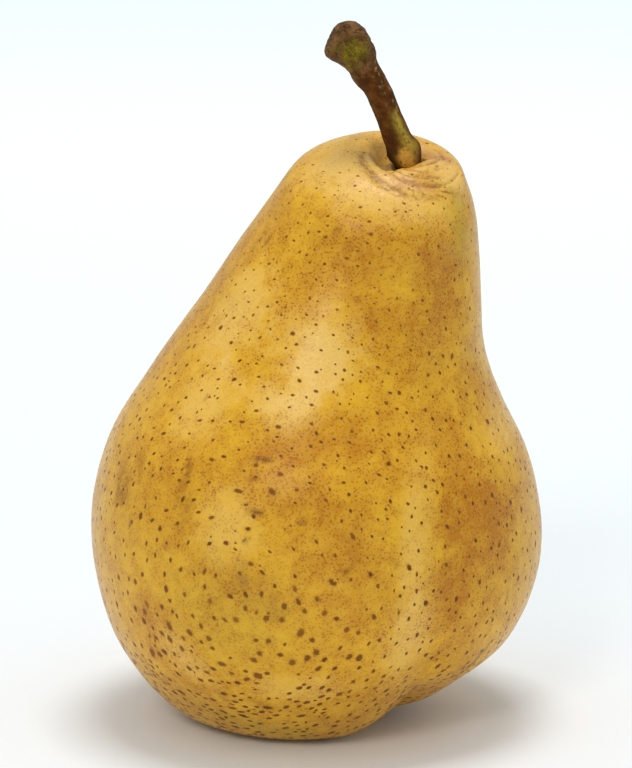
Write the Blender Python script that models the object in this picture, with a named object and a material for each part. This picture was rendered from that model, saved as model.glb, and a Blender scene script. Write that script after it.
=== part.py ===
"""A ripe pear standing on the lobes of its base, with its stem and its dried calyx.

Metres, +Z up. The origin is on the surface it stands on, under the middle of its bounding box,
and -Y is its front. Its neck leans to the right and towards the front.
"""

import math

import bmesh
import bpy
from mathutils import Vector, noise

# Driving dimensions
FRUIT_LENGTH = 0.1015
FRUIT_WIDTH = 0.0758
STEM_RADIUS = 0.00215
STEM_ROOT_RADIUS = 0.0026
STEM_ROOT_LENGTH = 0.0045
CALYX_RADIUS = 0.0030
CALYX_ROOT_LENGTH = 0.0026
GAP = 0.0003

# Fineness of the faceted solids
FRUIT_SIDES = 84
FRUIT_STEPS = 3
STEM_SIDES = 24
STEM_STEPS = 4
CROWN_SIDES = 30
STYLE_SIDES = 8

# The fruit's turned outline, from the calyx hole's edge up to the stem hole's edge.
# Each point is a share of the length along the core line and a share of the half width.
OUTLINE = [
    (0.046, 0.088),
    (0.028, 0.150),
    (0.008, 0.230),
    (-0.001, 0.330),
    (0.003, 0.450),
    (0.024, 0.596),
    (0.082, 0.755),
    (0.163, 0.908),
    (0.265, 0.986),
    (0.365, 0.992),
    (0.467, 0.922),
    (0.568, 0.774),
    (0.670, 0.634),
    (0.771, 0.540),
    (0.852, 0.468),
    (0.922, 0.398),
    (0.962, 0.300),
    (0.977, 0.225),
    (0.979, 0.165),
    (0.973, 0.115),
    (0.965, 0.078),
]

# The bent core line, from the calyx up through the middle of the belly and the neck.
CORE = [
    (-0.0026, 0.0023, 0.0000),
    (0.0000, 0.0005, 0.0219),
    (0.0000, -0.0007, 0.0419),
    (0.0025, -0.0016, 0.0621),
    (0.0085, -0.0050, 0.0824),
    (0.0127, -0.0112, 0.0999),
]
LINE_STEPS = 24
AXIS_REACH = 0.008

# The cross sections follow this share of the core line's sideways lean, in the belly and at the
# crown, and it rises from one to the other between these distances.
SIDE_LEANS = (0.5, 0.85)
LEAN_RISES = (0.062, 0.094)

# The belly is fuller at its front where it rolls over into the neck: by how much, at which
# angle in degrees and distance, and how far that reaches to either side of each.
FULLNESS = 0.0016
FULLNESS_ANGLE = -100.0
FULLNESS_ANGLE_REACH = 60.0
FULLNESS_DISTANCE = 0.064
FULLNESS_DISTANCE_REACH = 0.017

# The base stands higher on the right than on the left, and lower at the back, by these slopes.
BASE_SLOPE_RIGHT = 0.090
BASE_SLOPE_BACK = -0.080
BASE_SLOPE_AT_CALYX = 0.60
BASE_SLOPE_FULL = 0.010
BASE_SLOPE_FADES = 0.042

# The lobe on the right is lifted clear of the surface by this much.
RIGHT_LIFT = 0.0022
RIGHT_LIFT_STARTS = 0.003
RIGHT_LIFT_FULL = 0.016
RIGHT_LIFT_FADES = 0.016

# The main crease: its angle in degrees and its depth at the base, the belly and the neck, and
# its width in degrees at the base and on the belly. It turns from each to the next between the
# two distances given for that.
CREASE_ANGLES = (-42.0, -57.0, -48.0)
CREASE_DEPTHS = (0.0034, 0.0014, 0.0006)
CREASE_WIDTHS = (8.0, 15.0)
CREASE_ROUNDING = 4.0
CREASE_SWINGS = (0.001, 0.014)
CREASE_REACHES_BELLY = (0.003, 0.028)
CREASE_REACHES_NECK = (0.038, 0.080)
CREASE_ENDS = (0.084, 0.094)

# The shallow furrows between the other lobes of the base: angle in degrees and depth.
FURROWS = [(20.0, 0.0012), (95.0, 0.0015), (172.0, 0.0010)]
FURROW_HEIGHT = 0.026
FURROW_WIDTH = 14.0
FURROW_ROUNDING = 8.0

# Below this distance the creases cut more and more upward into the base, above it inward.
CUTS_INWARD_FROM = 0.016

# The stem cavity lies off the middle of the shoulders, to the right and to the back.
CAVITY_SHIFT_SIDE = 0.0034
CAVITY_SHIFT_BACK = 0.0012
CAVITY_SHIFT_FULL = 0.006
CAVITY_SHIFT_STARTS = 0.016

# The stem's route from the mouth of its hole, and its radii along it as shares of its own.
STEM_ROUTE = [
    (0.0000, 0.0000, 0.0000),
    (-0.0009, -0.0002, 0.0022),
    (-0.0024, -0.0005, 0.0056),
    (-0.0038, -0.0008, 0.0093),
    (-0.0053, -0.0012, 0.0128),
    (-0.0068, -0.0015, 0.0150),
    (-0.0084, -0.0017, 0.0172),
    (-0.0095, -0.0018, 0.0197),
    (-0.0099, -0.0019, 0.0220),
    (-0.0100, -0.0020, 0.0244),
]
STEM_OUTLINE = [
    (0.0000, 1.21),
    (0.0007, 1.29),
    (0.0017, 1.38),
    (0.0031, 1.24),
    (0.0048, 1.08),
    (0.0082, 0.98),
    (0.0116, 0.97),
    (0.0145, 1.02),
    (0.0170, 1.16),
    (0.0191, 1.42),
    (0.0212, 1.58),
    (0.0232, 1.50),
    (0.0247, 1.22),
    (0.0257, 0.78),
    (0.0261, 0.30),
]
STEM_REACH = 0.0015
STEM_TURNS_OVER = 0.0040
KNOB_STARTS = 0.0165
KNOB_FULL = 0.0205
KNOB_BUMPS = 0.00035
KNOB_BUMP_SIZE = 0.0022
SHAFT_BUMPS = 0.00008

# The dried calyx: a short crown with sepals round it and withered styles in it. The sepals start
# this deep inside the crown's hollow, and no two of them bend by the same number of degrees.
CROWN_DEPTH = 0.0013
CROWN_INNER_RADIUS = 0.0021
CROWN_FLOOR_RADIUS = 0.0017
CROWN_RIM = 0.0006
CROWN_RIM_EDGE = 0.0002
SEPALS = 5
SEPAL_LENGTH = 0.0044
SEPAL_ROOT = 0.0010
SEPAL_WIDTH = 0.0027
SEPAL_TIP_LOSS = 0.85
SEPAL_TIP_POWER = 1.6
SEPAL_THICKNESS = 0.0007
SEPAL_CUP = 0.0004
SEPAL_CLEARS_HOLLOW = 0.0001
SEPAL_LEAN = 6.0
SEPAL_BEND = 20.0
SEPAL_BEND_VARIES = 7.0
SEPAL_TWIST = 12.0
STYLES = 5
STYLE_RADIUS = 0.00045
STYLE_LENGTH = 0.0022
STYLE_RING = 0.0009
STYLE_SINKS = 0.0004
STYLE_LEAN = 0.12


def smooth_step(low, high, value):
    """0 below low, 1 above high, and a soft rise between them."""
    share = min(max((value - low) / (high - low), 0.0), 1.0)
    return share * share * (3.0 - 2.0 * share)


def smooth_curve(points, steps):
    """Points of a soft curve through the given ones, with steps of them for each stretch."""
    points = [Vector(point) for point in points]
    first = 2.0 * points[0] - points[1]
    last = 2.0 * points[-1] - points[-2]
    row = [first] + points + [last]
    curve = []
    for index in range(1, len(row) - 2):
        before, start, end, after = row[index - 1 : index + 3]
        for step in range(steps):
            t = step / steps
            linear = (end - before) * t
            square = (2.0 * before - 5.0 * start + 4.0 * end - after) * t**2
            cube = (3.0 * start - before - 3.0 * end + after) * t**3
            curve.append(0.5 * (2.0 * start + linear + square + cube))
    curve.append(points[-1])
    return curve


class Line:
    """A bent line, read by the distance along it, with the axes of its cross section."""

    def __init__(self, points, side_leans=(1.0, 1.0)):
        self.points = smooth_curve(points, LINE_STEPS)
        self.side_leans = side_leans
        self.along = [0.0]
        for start, end in zip(self.points, self.points[1:]):
            self.along.append(self.along[-1] + (end - start).length)
        self.length = self.along[-1]

    def point(self, distance):
        """The point at this distance, with both ends carried on straight."""
        if distance <= 0.0:
            step = self.points[1] - self.points[0]
            return self.points[0] + step.normalized() * distance
        if distance >= self.length:
            step = self.points[-1] - self.points[-2]
            return self.points[-1] + step.normalized() * (distance - self.length)
        index = 1
        while self.along[index] < distance:
            index += 1
        start = self.along[index - 1]
        share = (distance - start) / (self.along[index] - start)
        return self.points[index - 1].lerp(self.points[index], share)

    def ahead(self, distance, reach):
        """The direction of the line here, leaning sideways by its own share of the real lean."""
        inside = min(max(distance, 0.0), self.length)
        step = self.point(inside + reach) - self.point(inside - reach)
        low, high = self.side_leans
        step.x *= low + (high - low) * smooth_step(*LEAN_RISES, inside)
        return step.normalized()


def section_axes(ahead):
    """The side and back directions of a cross section that faces this way."""
    side = Vector((1.0, 0.0, 0.0))
    side = (side - ahead * side.dot(ahead)).normalized()
    return side, ahead.cross(side)


def across(axes, angle, radius):
    """The offset from the middle of a cross section at this angle and radius."""
    side, back = axes
    return (side * math.cos(angle) + back * math.sin(angle)) * radius


def furrow(angle, middle, width, soft):
    """1 in the middle of a furrow and less to either side, all in degrees."""
    off = (angle - middle + 180.0) % 360.0 - 180.0
    return math.exp(-(math.hypot(off, soft) - soft) / width)


def front_fullness(angle, distance):
    """How far the upper belly stands out at this angle in degrees and distance."""
    off_angle = (angle - FULLNESS_ANGLE + 180.0) % 360.0 - 180.0
    off_distance = (distance - FULLNESS_DISTANCE) / FULLNESS_DISTANCE_REACH
    return FULLNESS * math.exp(-((off_angle / FULLNESS_ANGLE_REACH) ** 2) - off_distance**2)


def cut_depth(angle, distance):
    """How deep the crease and the furrows cut in at this angle in degrees and distance."""
    swing = smooth_step(*CREASE_SWINGS, distance)
    belly = smooth_step(*CREASE_REACHES_BELLY, distance)
    neck = smooth_step(*CREASE_REACHES_NECK, distance)
    base_angle, belly_angle, neck_angle = CREASE_ANGLES
    base_depth, belly_depth, neck_depth = CREASE_DEPTHS
    base_width, belly_width = CREASE_WIDTHS
    middle = base_angle + (belly_angle - base_angle) * swing + (neck_angle - belly_angle) * neck
    depth = base_depth + (belly_depth - base_depth) * belly + (neck_depth - belly_depth) * neck
    depth *= 1.0 - smooth_step(*CREASE_ENDS, distance)
    width = base_width + (belly_width - base_width) * belly
    cut = depth * furrow(angle, middle, width, CREASE_ROUNDING)
    fade = 1.0 - smooth_step(0.0, FURROW_HEIGHT, distance)
    for middle, depth in FURROWS:
        cut += depth * fade * furrow(angle, middle, FURROW_WIDTH, FURROW_ROUNDING)
    return cut


def seat(core, angle, radius, distance):
    """The place in the world of a point given round the core line, with the tilt of the base."""
    axes = section_axes(core.ahead(distance, AXIS_REACH))
    point = core.point(distance) + across(axes, angle, radius)
    rise = smooth_step(0.0, BASE_SLOPE_FULL, distance)
    fade = 1.0 - smooth_step(0.0, BASE_SLOPE_FADES, distance)
    share = BASE_SLOPE_AT_CALYX + (1.0 - BASE_SLOPE_AT_CALYX) * rise
    point.z += (BASE_SLOPE_RIGHT * share * point.x + BASE_SLOPE_BACK * point.y) * fade
    lift = smooth_step(RIGHT_LIFT_STARTS, RIGHT_LIFT_FULL, point.x)
    point.z += RIGHT_LIFT * lift * (1.0 - smooth_step(0.0, RIGHT_LIFT_FADES, distance))
    return point


def new_object(name, shape, material):
    """An object with this name and material, made of a bmesh, which it closes and frees."""
    bmesh.ops.remove_doubles(shape, verts=shape.verts, dist=1e-7)
    bmesh.ops.recalc_face_normals(shape, faces=shape.faces)
    mesh = bpy.data.meshes.new(name)
    shape.to_mesh(mesh)
    shape.free()
    mesh.shade_smooth()
    mesh.materials.append(material)
    obj = bpy.data.objects.new(name, mesh)
    bpy.context.scene.collection.objects.link(obj)
    return obj


def new_material(name, colour, roughness, metallic=0.0):
    """A plain finish with one colour."""
    material = bpy.data.materials.new(name)
    material.use_nodes = True
    shader = material.node_tree.nodes["Principled BSDF"]
    shader.inputs["Base Color"].default_value = (*colour, 1.0)
    shader.inputs["Roughness"].default_value = roughness
    shader.inputs["Metallic"].default_value = metallic
    material.diffuse_color = (*colour, 1.0)
    return material


def turned(outline, sides):
    """A bmesh of a list of (distance, radius) turned round the Z axis."""
    shape = bmesh.new()
    row = [shape.verts.new((radius, 0.0, distance)) for distance, radius in outline]
    edges = [shape.edges.new(pair) for pair in zip(row, row[1:])]
    bmesh.ops.spin(
        shape,
        geom=row + edges,
        cent=(0.0, 0.0, 0.0),
        axis=(0.0, 0.0, 1.0),
        angle=2.0 * math.pi,
        steps=sides,
        use_merge=True,
    )
    bmesh.ops.remove_doubles(shape, verts=shape.verts, dist=1e-7)
    return shape


def round_place(point):
    """The angle, radius and distance of a point of a turned shape."""
    return math.atan2(point.y, point.x), math.hypot(point.x, point.y), point.z


def skin_outline():
    """The skin's part of the fruit's outline, as distances and radii."""
    points = smooth_curve([(share, width, 0.0) for share, width in OUTLINE], FRUIT_STEPS)
    return [(point.x * FRUIT_LENGTH, point.y * FRUIT_WIDTH / 2.0) for point in points]


def cavity_shift(core, radius, distance):
    """How far the rings of the stem cavity lie off the core line, more towards its middle."""
    if distance < FRUIT_LENGTH / 2.0:
        return Vector((0.0, 0.0, 0.0))
    side, back = section_axes(core.ahead(distance, AXIS_REACH))
    share = 1.0 - smooth_step(CAVITY_SHIFT_FULL, CAVITY_SHIFT_STARTS, radius)
    return (side * CAVITY_SHIFT_SIDE + back * CAVITY_SHIFT_BACK) * share


SKIN = skin_outline()
CALYX_MOUTH = SKIN[0][0]
STEM_MOUTH = SKIN[-1][0]
FRUIT_CORE = Line(CORE, SIDE_LEANS)
STEM_FOOT = FRUIT_CORE.point(STEM_MOUTH) + cavity_shift(FRUIT_CORE, 0.0, STEM_MOUTH)
STEM_LINE = Line([STEM_FOOT + Vector(step) for step in STEM_ROUTE])


def stem_root(angle, radius, depth):
    """A point this deep below the mouth of the stem hole, whose sections lie along the mouth."""
    axes = section_axes(FRUIT_CORE.ahead(STEM_MOUTH, AXIS_REACH))
    return STEM_LINE.point(-depth) + across(axes, angle, radius)


def build_fruit(material):
    """The turned outline, creased, bent along the core line and flattened where it stands."""
    calyx_hole = CALYX_RADIUS + GAP
    calyx_floor = CALYX_MOUTH + CALYX_ROOT_LENGTH + GAP
    stem_hole = STEM_ROOT_RADIUS + GAP
    stem_floor = STEM_MOUTH - STEM_ROOT_LENGTH - GAP
    bottom = [(calyx_floor, 0.0), (calyx_floor, calyx_hole)]
    top = [(stem_floor, stem_hole), (stem_floor, 0.0)]
    shape = turned(bottom + SKIN + top, FRUIT_SIDES)
    for vertex in shape.verts:
        angle, radius, distance = round_place(vertex.co)
        if radius <= stem_hole + 1e-6 and distance > FRUIT_LENGTH / 2.0:
            vertex.co = stem_root(angle, radius, STEM_MOUTH - distance)
            continue
        if radius > calyx_hole + GAP:
            radius += front_fullness(math.degrees(angle), distance)
            cut = cut_depth(math.degrees(angle), distance)
            inward = smooth_step(0.0, CUTS_INWARD_FROM, distance)
            near_hole = smooth_step(calyx_hole, 2.5 * calyx_hole, radius)
            radius -= cut * inward
            distance += cut * (1.0 - inward) * near_hole
        point = seat(FRUIT_CORE, angle, radius, distance)
        point += cavity_shift(FRUIT_CORE, radius, distance)
        point.z = max(point.z, 0.0)
        vertex.co = point
    return new_object("fruit", shape, material)


def build_stem(material):
    """The stalk: a straight root in its hole, a swollen foot, a slim shaft and a knobby end."""
    points = smooth_curve([(along, share, 0.0) for along, share in STEM_OUTLINE], STEM_STEPS)
    outline = [(-STEM_ROOT_LENGTH, 0.0), (-STEM_ROOT_LENGTH, STEM_ROOT_RADIUS)]
    outline += [(point.x, point.y * STEM_RADIUS) for point in points]
    outline += [(points[-1].x, 0.0)]
    shape = turned(outline, STEM_SIDES)
    mouth = FRUIT_CORE.ahead(STEM_MOUTH, AXIS_REACH)
    for vertex in shape.verts:
        angle, radius, distance = round_place(vertex.co)
        if distance <= 0.0:
            vertex.co = stem_root(angle, radius, -distance)
            continue
        turn = smooth_step(0.0, STEM_TURNS_OVER, distance)
        ahead = mouth.lerp(STEM_LINE.ahead(distance, STEM_REACH), turn).normalized()
        middle = STEM_LINE.point(distance)
        place = middle + across(section_axes(ahead), angle, radius)
        knob = smooth_step(KNOB_STARTS, KNOB_FULL, distance)
        size = SHAFT_BUMPS * turn + (KNOB_BUMPS - SHAFT_BUMPS) * knob
        bump = noise.noise(place / KNOB_BUMP_SIZE)
        if radius > 0.0:
            place += (place - middle).normalized() * bump * size
        vertex.co = place
    return new_object("stem", shape, material)


def sepal(angle, bend):
    """One dried sepal as a bmesh: a pointed blade that leaves the crown and curls outward."""
    shape = bmesh.new()
    bmesh.ops.create_grid(shape, x_segments=6, y_segments=2, size=0.5)
    for vertex in shape.verts:
        along = vertex.co.x + 0.5
        share = 2.0 * vertex.co.y
        half = 0.5 * SEPAL_WIDTH * (1.0 - SEPAL_TIP_LOSS * along**SEPAL_TIP_POWER)
        lean = math.radians(SEPAL_LEAN + bend * along)
        start = CROWN_INNER_RADIUS + SEPAL_CLEARS_HOLLOW - SEPAL_CUP * share**2
        out = start + SEPAL_LENGTH * along * math.sin(lean)
        down = CALYX_MOUTH + SEPAL_ROOT - SEPAL_LENGTH * along * math.cos(lean)
        vertex.co = (out, share * half, down)
    bmesh.ops.solidify(shape, geom=shape.faces[:], thickness=SEPAL_THICKNESS)
    turn = math.radians(angle)
    for vertex in shape.verts:
        x, y, z = vertex.co
        vertex.co = (
            x * math.cos(turn) - y * math.sin(turn),
            x * math.sin(turn) + y * math.cos(turn),
            z,
        )
    return shape


def style(angle, lean):
    """One withered style as a bmesh: a slim cone that stands in the crown."""
    shape = bmesh.new()
    bmesh.ops.create_cone(
        shape,
        cap_ends=True,
        segments=STYLE_SIDES,
        radius1=STYLE_RADIUS,
        radius2=0.5 * STYLE_RADIUS,
        depth=STYLE_LENGTH,
    )
    turn = math.radians(angle)
    start = CALYX_MOUTH + CROWN_DEPTH + STYLE_SINKS
    for vertex in shape.verts:
        down = vertex.co.z + 0.5 * STYLE_LENGTH
        out = STYLE_RING + lean * down
        x = vertex.co.x + out * math.cos(turn)
        y = vertex.co.y + out * math.sin(turn)
        vertex.co = (x, y, start - down)
    return shape


def build_calyx(material):
    """The crown with its sepals and styles, joined in one solid and seated in its hole."""
    root = CALYX_MOUTH + CALYX_ROOT_LENGTH
    edge = CALYX_MOUTH - CROWN_RIM_EDGE
    floor = CALYX_MOUTH + CROWN_DEPTH
    outline = [
        (root, 0.0),
        (root, CALYX_RADIUS),
        (edge, CALYX_RADIUS),
        (CALYX_MOUTH - CROWN_RIM, 0.5 * (CALYX_RADIUS + CROWN_INNER_RADIUS)),
        (edge, CROWN_INNER_RADIUS),
        (floor, CROWN_FLOOR_RADIUS),
        (floor, 0.0),
    ]
    calyx = new_object("calyx", turned(outline, CROWN_SIDES), material)
    pieces = bpy.data.collections.new("calyx_pieces")
    bpy.context.scene.collection.children.link(pieces)
    shapes = []
    for index in range(SEPALS):
        angle = 360.0 * index / SEPALS + SEPAL_TWIST * math.sin(2.3 * index)
        bend = SEPAL_BEND + SEPAL_BEND_VARIES * math.cos(1.7 * index)
        shapes.append(sepal(angle, bend))
    for index in range(STYLES):
        angle = 360.0 * (index + 0.5) / STYLES
        shapes.append(style(angle, STYLE_LEAN * math.sin(2.0 * index)))
    for index, shape in enumerate(shapes):
        piece = new_object(f"calyx_piece_{index}", shape, material)
        bpy.context.scene.collection.objects.unlink(piece)
        pieces.objects.link(piece)
    join = calyx.modifiers.new("join", "BOOLEAN")
    join.operation = "UNION"
    join.solver = "MANIFOLD"
    join.operand_type = "COLLECTION"
    join.collection = pieces
    bpy.context.view_layer.update()
    graph = bpy.context.evaluated_depsgraph_get()
    joined = bpy.data.meshes.new_from_object(calyx.evaluated_get(graph))
    calyx.modifiers.clear()
    calyx.data = joined
    for piece in list(pieces.objects):
        bpy.data.objects.remove(piece, do_unlink=True)
    bpy.data.collections.remove(pieces)
    for vertex in joined.vertices:
        angle, radius, distance = round_place(vertex.co)
        vertex.co = seat(FRUIT_CORE, angle, radius, distance)
    return calyx


def clear_scene():
    """Removes whatever the scene holds."""
    for obj in list(bpy.data.objects):
        bpy.data.objects.remove(obj, do_unlink=True)


def main():
    """Builds the fruit, the stem and the calyx."""
    clear_scene()
    build_fruit(new_material("pear_skin", (0.62, 0.36, 0.07), 0.42))
    build_stem(new_material("stem_bark", (0.12, 0.06, 0.02), 0.75))
    build_calyx(new_material("dried_calyx", (0.07, 0.045, 0.025), 0.85))


main()
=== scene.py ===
"""Looks of a ripe pear that stands on a pale floor.

The fruit is a turned outline, creased and bent along a core line. Its skin is waxy and golden,
with amber mottling, fine pores and brown lenticels. A woody stem stands in a folded cavity, and
a dried calyx sits in the basin underneath. Metres, +Z up, -Y is the front.
"""

from __future__ import annotations

import logging
import math
from dataclasses import dataclass
from enum import Enum

import bmesh
import bpy
import numpy as np
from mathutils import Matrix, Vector, noise
from mathutils.bvhtree import BVHTree
from mathutils.kdtree import KDTree


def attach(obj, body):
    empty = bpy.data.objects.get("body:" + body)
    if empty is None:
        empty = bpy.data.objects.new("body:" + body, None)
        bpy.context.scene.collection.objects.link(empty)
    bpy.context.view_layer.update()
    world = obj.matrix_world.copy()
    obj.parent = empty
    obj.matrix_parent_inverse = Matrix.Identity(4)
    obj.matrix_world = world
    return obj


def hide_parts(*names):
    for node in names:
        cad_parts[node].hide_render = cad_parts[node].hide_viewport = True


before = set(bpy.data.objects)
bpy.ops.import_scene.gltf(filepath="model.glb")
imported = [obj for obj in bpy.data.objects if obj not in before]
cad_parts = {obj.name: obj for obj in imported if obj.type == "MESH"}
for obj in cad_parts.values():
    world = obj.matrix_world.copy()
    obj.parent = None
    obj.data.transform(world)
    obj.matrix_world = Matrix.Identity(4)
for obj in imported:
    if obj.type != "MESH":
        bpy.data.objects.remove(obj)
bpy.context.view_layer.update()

# A number or an array of them, then a node tree and what feeds an input of its nodes.
Number = float | np.ndarray
Tree = bpy.types.NodeTree
Feed = float | tuple | bpy.types.NodeSocket

MM = 0.001
PICTURE_WIDTH = 632
PICTURE_HEIGHT = 768
LOG = logging.getLogger("pear")

# The fruit's turned outline, from the calyx hole's edge up to the stem hole's edge.
# Each point is a share of the length along the core line and a share of the half width.
OUTLINE = (
    (0.046, 0.088),
    (0.028, 0.150),
    (0.008, 0.230),
    (-0.001, 0.330),
    (0.003, 0.450),
    (0.024, 0.596),
    (0.082, 0.755),
    (0.163, 0.908),
    (0.265, 0.986),
    (0.365, 0.992),
    (0.467, 0.922),
    (0.568, 0.774),
    (0.670, 0.634),
    (0.771, 0.540),
    (0.852, 0.468),
    (0.922, 0.398),
    (0.962, 0.300),
    (0.977, 0.225),
    (0.979, 0.165),
    (0.973, 0.115),
    (0.965, 0.078),
)

# The bent core line, from the calyx up through the middle of the belly and the neck.
CORE = (
    (-0.0026, 0.0023, 0.0000),
    (0.0000, 0.0005, 0.0219),
    (0.0000, -0.0007, 0.0419),
    (0.0025, -0.0016, 0.0621),
    (0.0085, -0.0050, 0.0824),
    (0.0127, -0.0112, 0.0999),
)

# The share of the core line's sideways lean that the cross sections follow rises between these
# distances, from the belly's to the crown's.
LEAN_RISES = (0.062, 0.094)

# The stem's route from the mouth of its hole.
STEM_ROUTE = (
    (0.0000, 0.0000, 0.0000),
    (-0.0009, -0.0002, 0.0022),
    (-0.0024, -0.0005, 0.0056),
    (-0.0038, -0.0008, 0.0093),
    (-0.0053, -0.0012, 0.0128),
    (-0.0068, -0.0015, 0.0150),
    (-0.0084, -0.0017, 0.0172),
    (-0.0095, -0.0018, 0.0197),
    (-0.0099, -0.0019, 0.0220),
    (-0.0100, -0.0020, 0.0244),
)

# The stem's outline: the distance from the mouth, and the radius as a share of its own.
STEM_OUTLINE = (
    (0.0000, 1.21),
    (0.0007, 1.29),
    (0.0017, 1.38),
    (0.0031, 1.24),
    (0.0048, 1.08),
    (0.0082, 0.98),
    (0.0116, 0.97),
    (0.0145, 1.02),
    (0.0170, 1.16),
    (0.0191, 1.42),
    (0.0212, 1.58),
    (0.0232, 1.50),
    (0.0247, 1.22),
    (0.0257, 0.78),
    (0.0261, 0.30),
)


def smooth_step(low: float, high: float, value: Number) -> Number:
    """0 below low, 1 above high, and a soft rise between them, for a number or an array."""
    share = np.clip((value - low) / (high - low), 0.0, 1.0)
    return share * share * (3.0 - 2.0 * share)


def between(rise: tuple[float, float], fall: tuple[float, float], value: Number) -> Number:
    """1 between a soft rise and a soft fall, and 0 outside them."""
    return smooth_step(*rise, value) * (1.0 - smooth_step(*fall, value))


def unit(vectors: np.ndarray) -> np.ndarray:
    """The vectors at length 1."""
    return vectors / np.maximum(np.linalg.norm(vectors, axis=-1, keepdims=True), 1e-12)


def smooth_curve(points: tuple | np.ndarray, steps: int) -> np.ndarray:
    """Points of a soft curve through the given ones.

    Args:
        points: the points that the curve goes through.
        steps: how many points each stretch between two of them gets.

    Returns:
        The curve's points, one a row.
    """
    row = np.asarray(points, float)
    row = np.vstack([2.0 * row[0] - row[1], row, 2.0 * row[-1] - row[-2]])
    curve = []
    for before, start, end, after in zip(row, row[1:], row[2:], row[3:]):
        for step in range(steps):
            t = step / steps
            linear_part = (end - before) * t
            square = (2.0 * before - 5.0 * start + 4.0 * end - after) * t**2
            cube = (3.0 * start - before - 3.0 * end + after) * t**3
            curve.append(0.5 * (2.0 * start + linear_part + square + cube))
    curve.append(row[-2])
    return np.array(curve)


def noise_of(points: np.ndarray, size: float, seed: float = 0.0) -> np.ndarray:
    """Soft noise between about -1 and 1 at these points, with lumps of this size."""
    shift = Vector((seed, 1.7 * seed, -0.6 * seed))
    return np.array([noise.noise(Vector(point) / size + shift) for point in points])


def linear(colour: str) -> tuple[float, float, float, float]:
    """The linear colour of an sRGB hex value."""
    shares = [int(colour[start : start + 2], 16) / 255.0 for start in (1, 3, 5)]
    red, green, blue = [
        share / 12.92 if share <= 0.04045 else ((share + 0.055) / 1.055) ** 2.4
        for share in shares
    ]
    return red, green, blue, 1.0


def add_node(
    tree: Tree, kind: str, settings: dict | None = None, inputs: dict | None = None
) -> bpy.types.Node:
    """Adds a node to a material, world or light.

    Args:
        tree: the node tree.
        kind: the node's type.
        settings: values of the node's own properties.
        inputs: for each input, by name or place, a value or the socket that feeds it.

    Returns:
        The node.
    """
    node = tree.nodes.new(kind)
    for name, value in (settings or {}).items():
        setattr(node, name, value)
    for name, value in (inputs or {}).items():
        if isinstance(value, bpy.types.NodeSocket):
            tree.links.new(value, node.inputs[name])
        else:
            node.inputs[name].default_value = value
    return node


def layered(tree: Tree, ground: Feed, coats: list[tuple[Feed, Feed]]) -> Feed:
    """Lays coats of colour over a ground.

    Args:
        tree: the node tree.
        ground: the colour underneath, or its socket.
        coats: the amount and the colour of each coat, from the lowest up.

    Returns:
        The socket with the colour.
    """
    for amount, colour in coats:
        coat = add_node(
            tree, "ShaderNodeMix", {"data_type": "RGBA"}, {0: amount, 6: ground, 7: colour}
        )
        ground = coat.outputs[2]
    return ground


def weighed(tree: Tree, terms: list[tuple[Feed, float]], start: float = 0.0) -> Feed:
    """Adds up amounts by their weights.

    Args:
        tree: the node tree.
        terms: the amount and the weight of each.
        start: what they are added to.

    Returns:
        The socket with the sum, kept between 0 and 1.
    """
    for amount, weight in terms:
        term = add_node(
            tree,
            "ShaderNodeMath",
            {"operation": "MULTIPLY_ADD"},
            {0: amount, 1: weight, 2: start},
        )
        start = term.outputs[0]
    term.use_clamp = True
    return start


def turned(outline: list[tuple[float, float]], sides: int) -> bmesh.types.BMesh:
    """A bmesh of an outline turned round the Z axis.

    Args:
        outline: (distance along Z, radius) of each point.
        sides: the number of steps round the axis.

    Returns:
        The closed shape.
    """
    shape = bmesh.new()
    row = [shape.verts.new((radius, 0.0, distance)) for distance, radius in outline]
    edges = [shape.edges.new(pair) for pair in zip(row, row[1:])]
    bmesh.ops.spin(
        shape,
        geom=row + edges,
        cent=(0.0, 0.0, 0.0),
        axis=(0.0, 0.0, 1.0),
        angle=2.0 * math.pi,
        steps=sides,
        use_merge=True,
    )
    bmesh.ops.remove_doubles(shape, verts=shape.verts, dist=1e-7)
    bmesh.ops.recalc_face_normals(shape, faces=shape.faces)
    return in_order(shape)


def in_order(shape: bmesh.types.BMesh) -> bmesh.types.BMesh:
    """Gives the faces and their corners a fixed order, which welding shuffles from run to run.

    Args:
        shape: the shape, which is freed.

    Returns:
        The same shape, the same in each run, so that seeded draws from its faces are too.
    """
    shape.verts.index_update()
    rows = []
    for face in shape.faces:
        row = [vertex.index for vertex in face.verts]
        first = row.index(min(row))
        rows.append(row[first:] + row[:first])
    ordered = bmesh.new()
    corners = [ordered.verts.new(vertex.co) for vertex in shape.verts]
    for row in sorted(rows):
        ordered.faces.new([corners[index] for index in row])
    shape.free()
    return ordered


def mesh_from(shape: bmesh.types.BMesh, name: str) -> bpy.types.Mesh:
    """A smooth shaded mesh made of a bmesh, which is freed."""
    mesh = bpy.data.meshes.new(name)
    shape.to_mesh(mesh)
    shape.free()
    mesh.shade_smooth()
    return mesh


def points_of(mesh: bpy.types.Mesh) -> np.ndarray:
    """The places of the mesh's vertices, one a row."""
    flat = np.empty(3 * len(mesh.vertices))
    mesh.vertices.foreach_get("co", flat)
    return flat.reshape(-1, 3)


def normals_of(mesh: bpy.types.Mesh) -> np.ndarray:
    """The normals of the mesh's vertices, one a row."""
    flat = np.empty(3 * len(mesh.vertices))
    mesh.vertices.foreach_get("normal", flat)
    return flat.reshape(-1, 3)


def move_points(mesh: bpy.types.Mesh, points: np.ndarray) -> None:
    """Puts the mesh's vertices at these places."""
    mesh.vertices.foreach_set("co", points.ravel())
    mesh.update()


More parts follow.
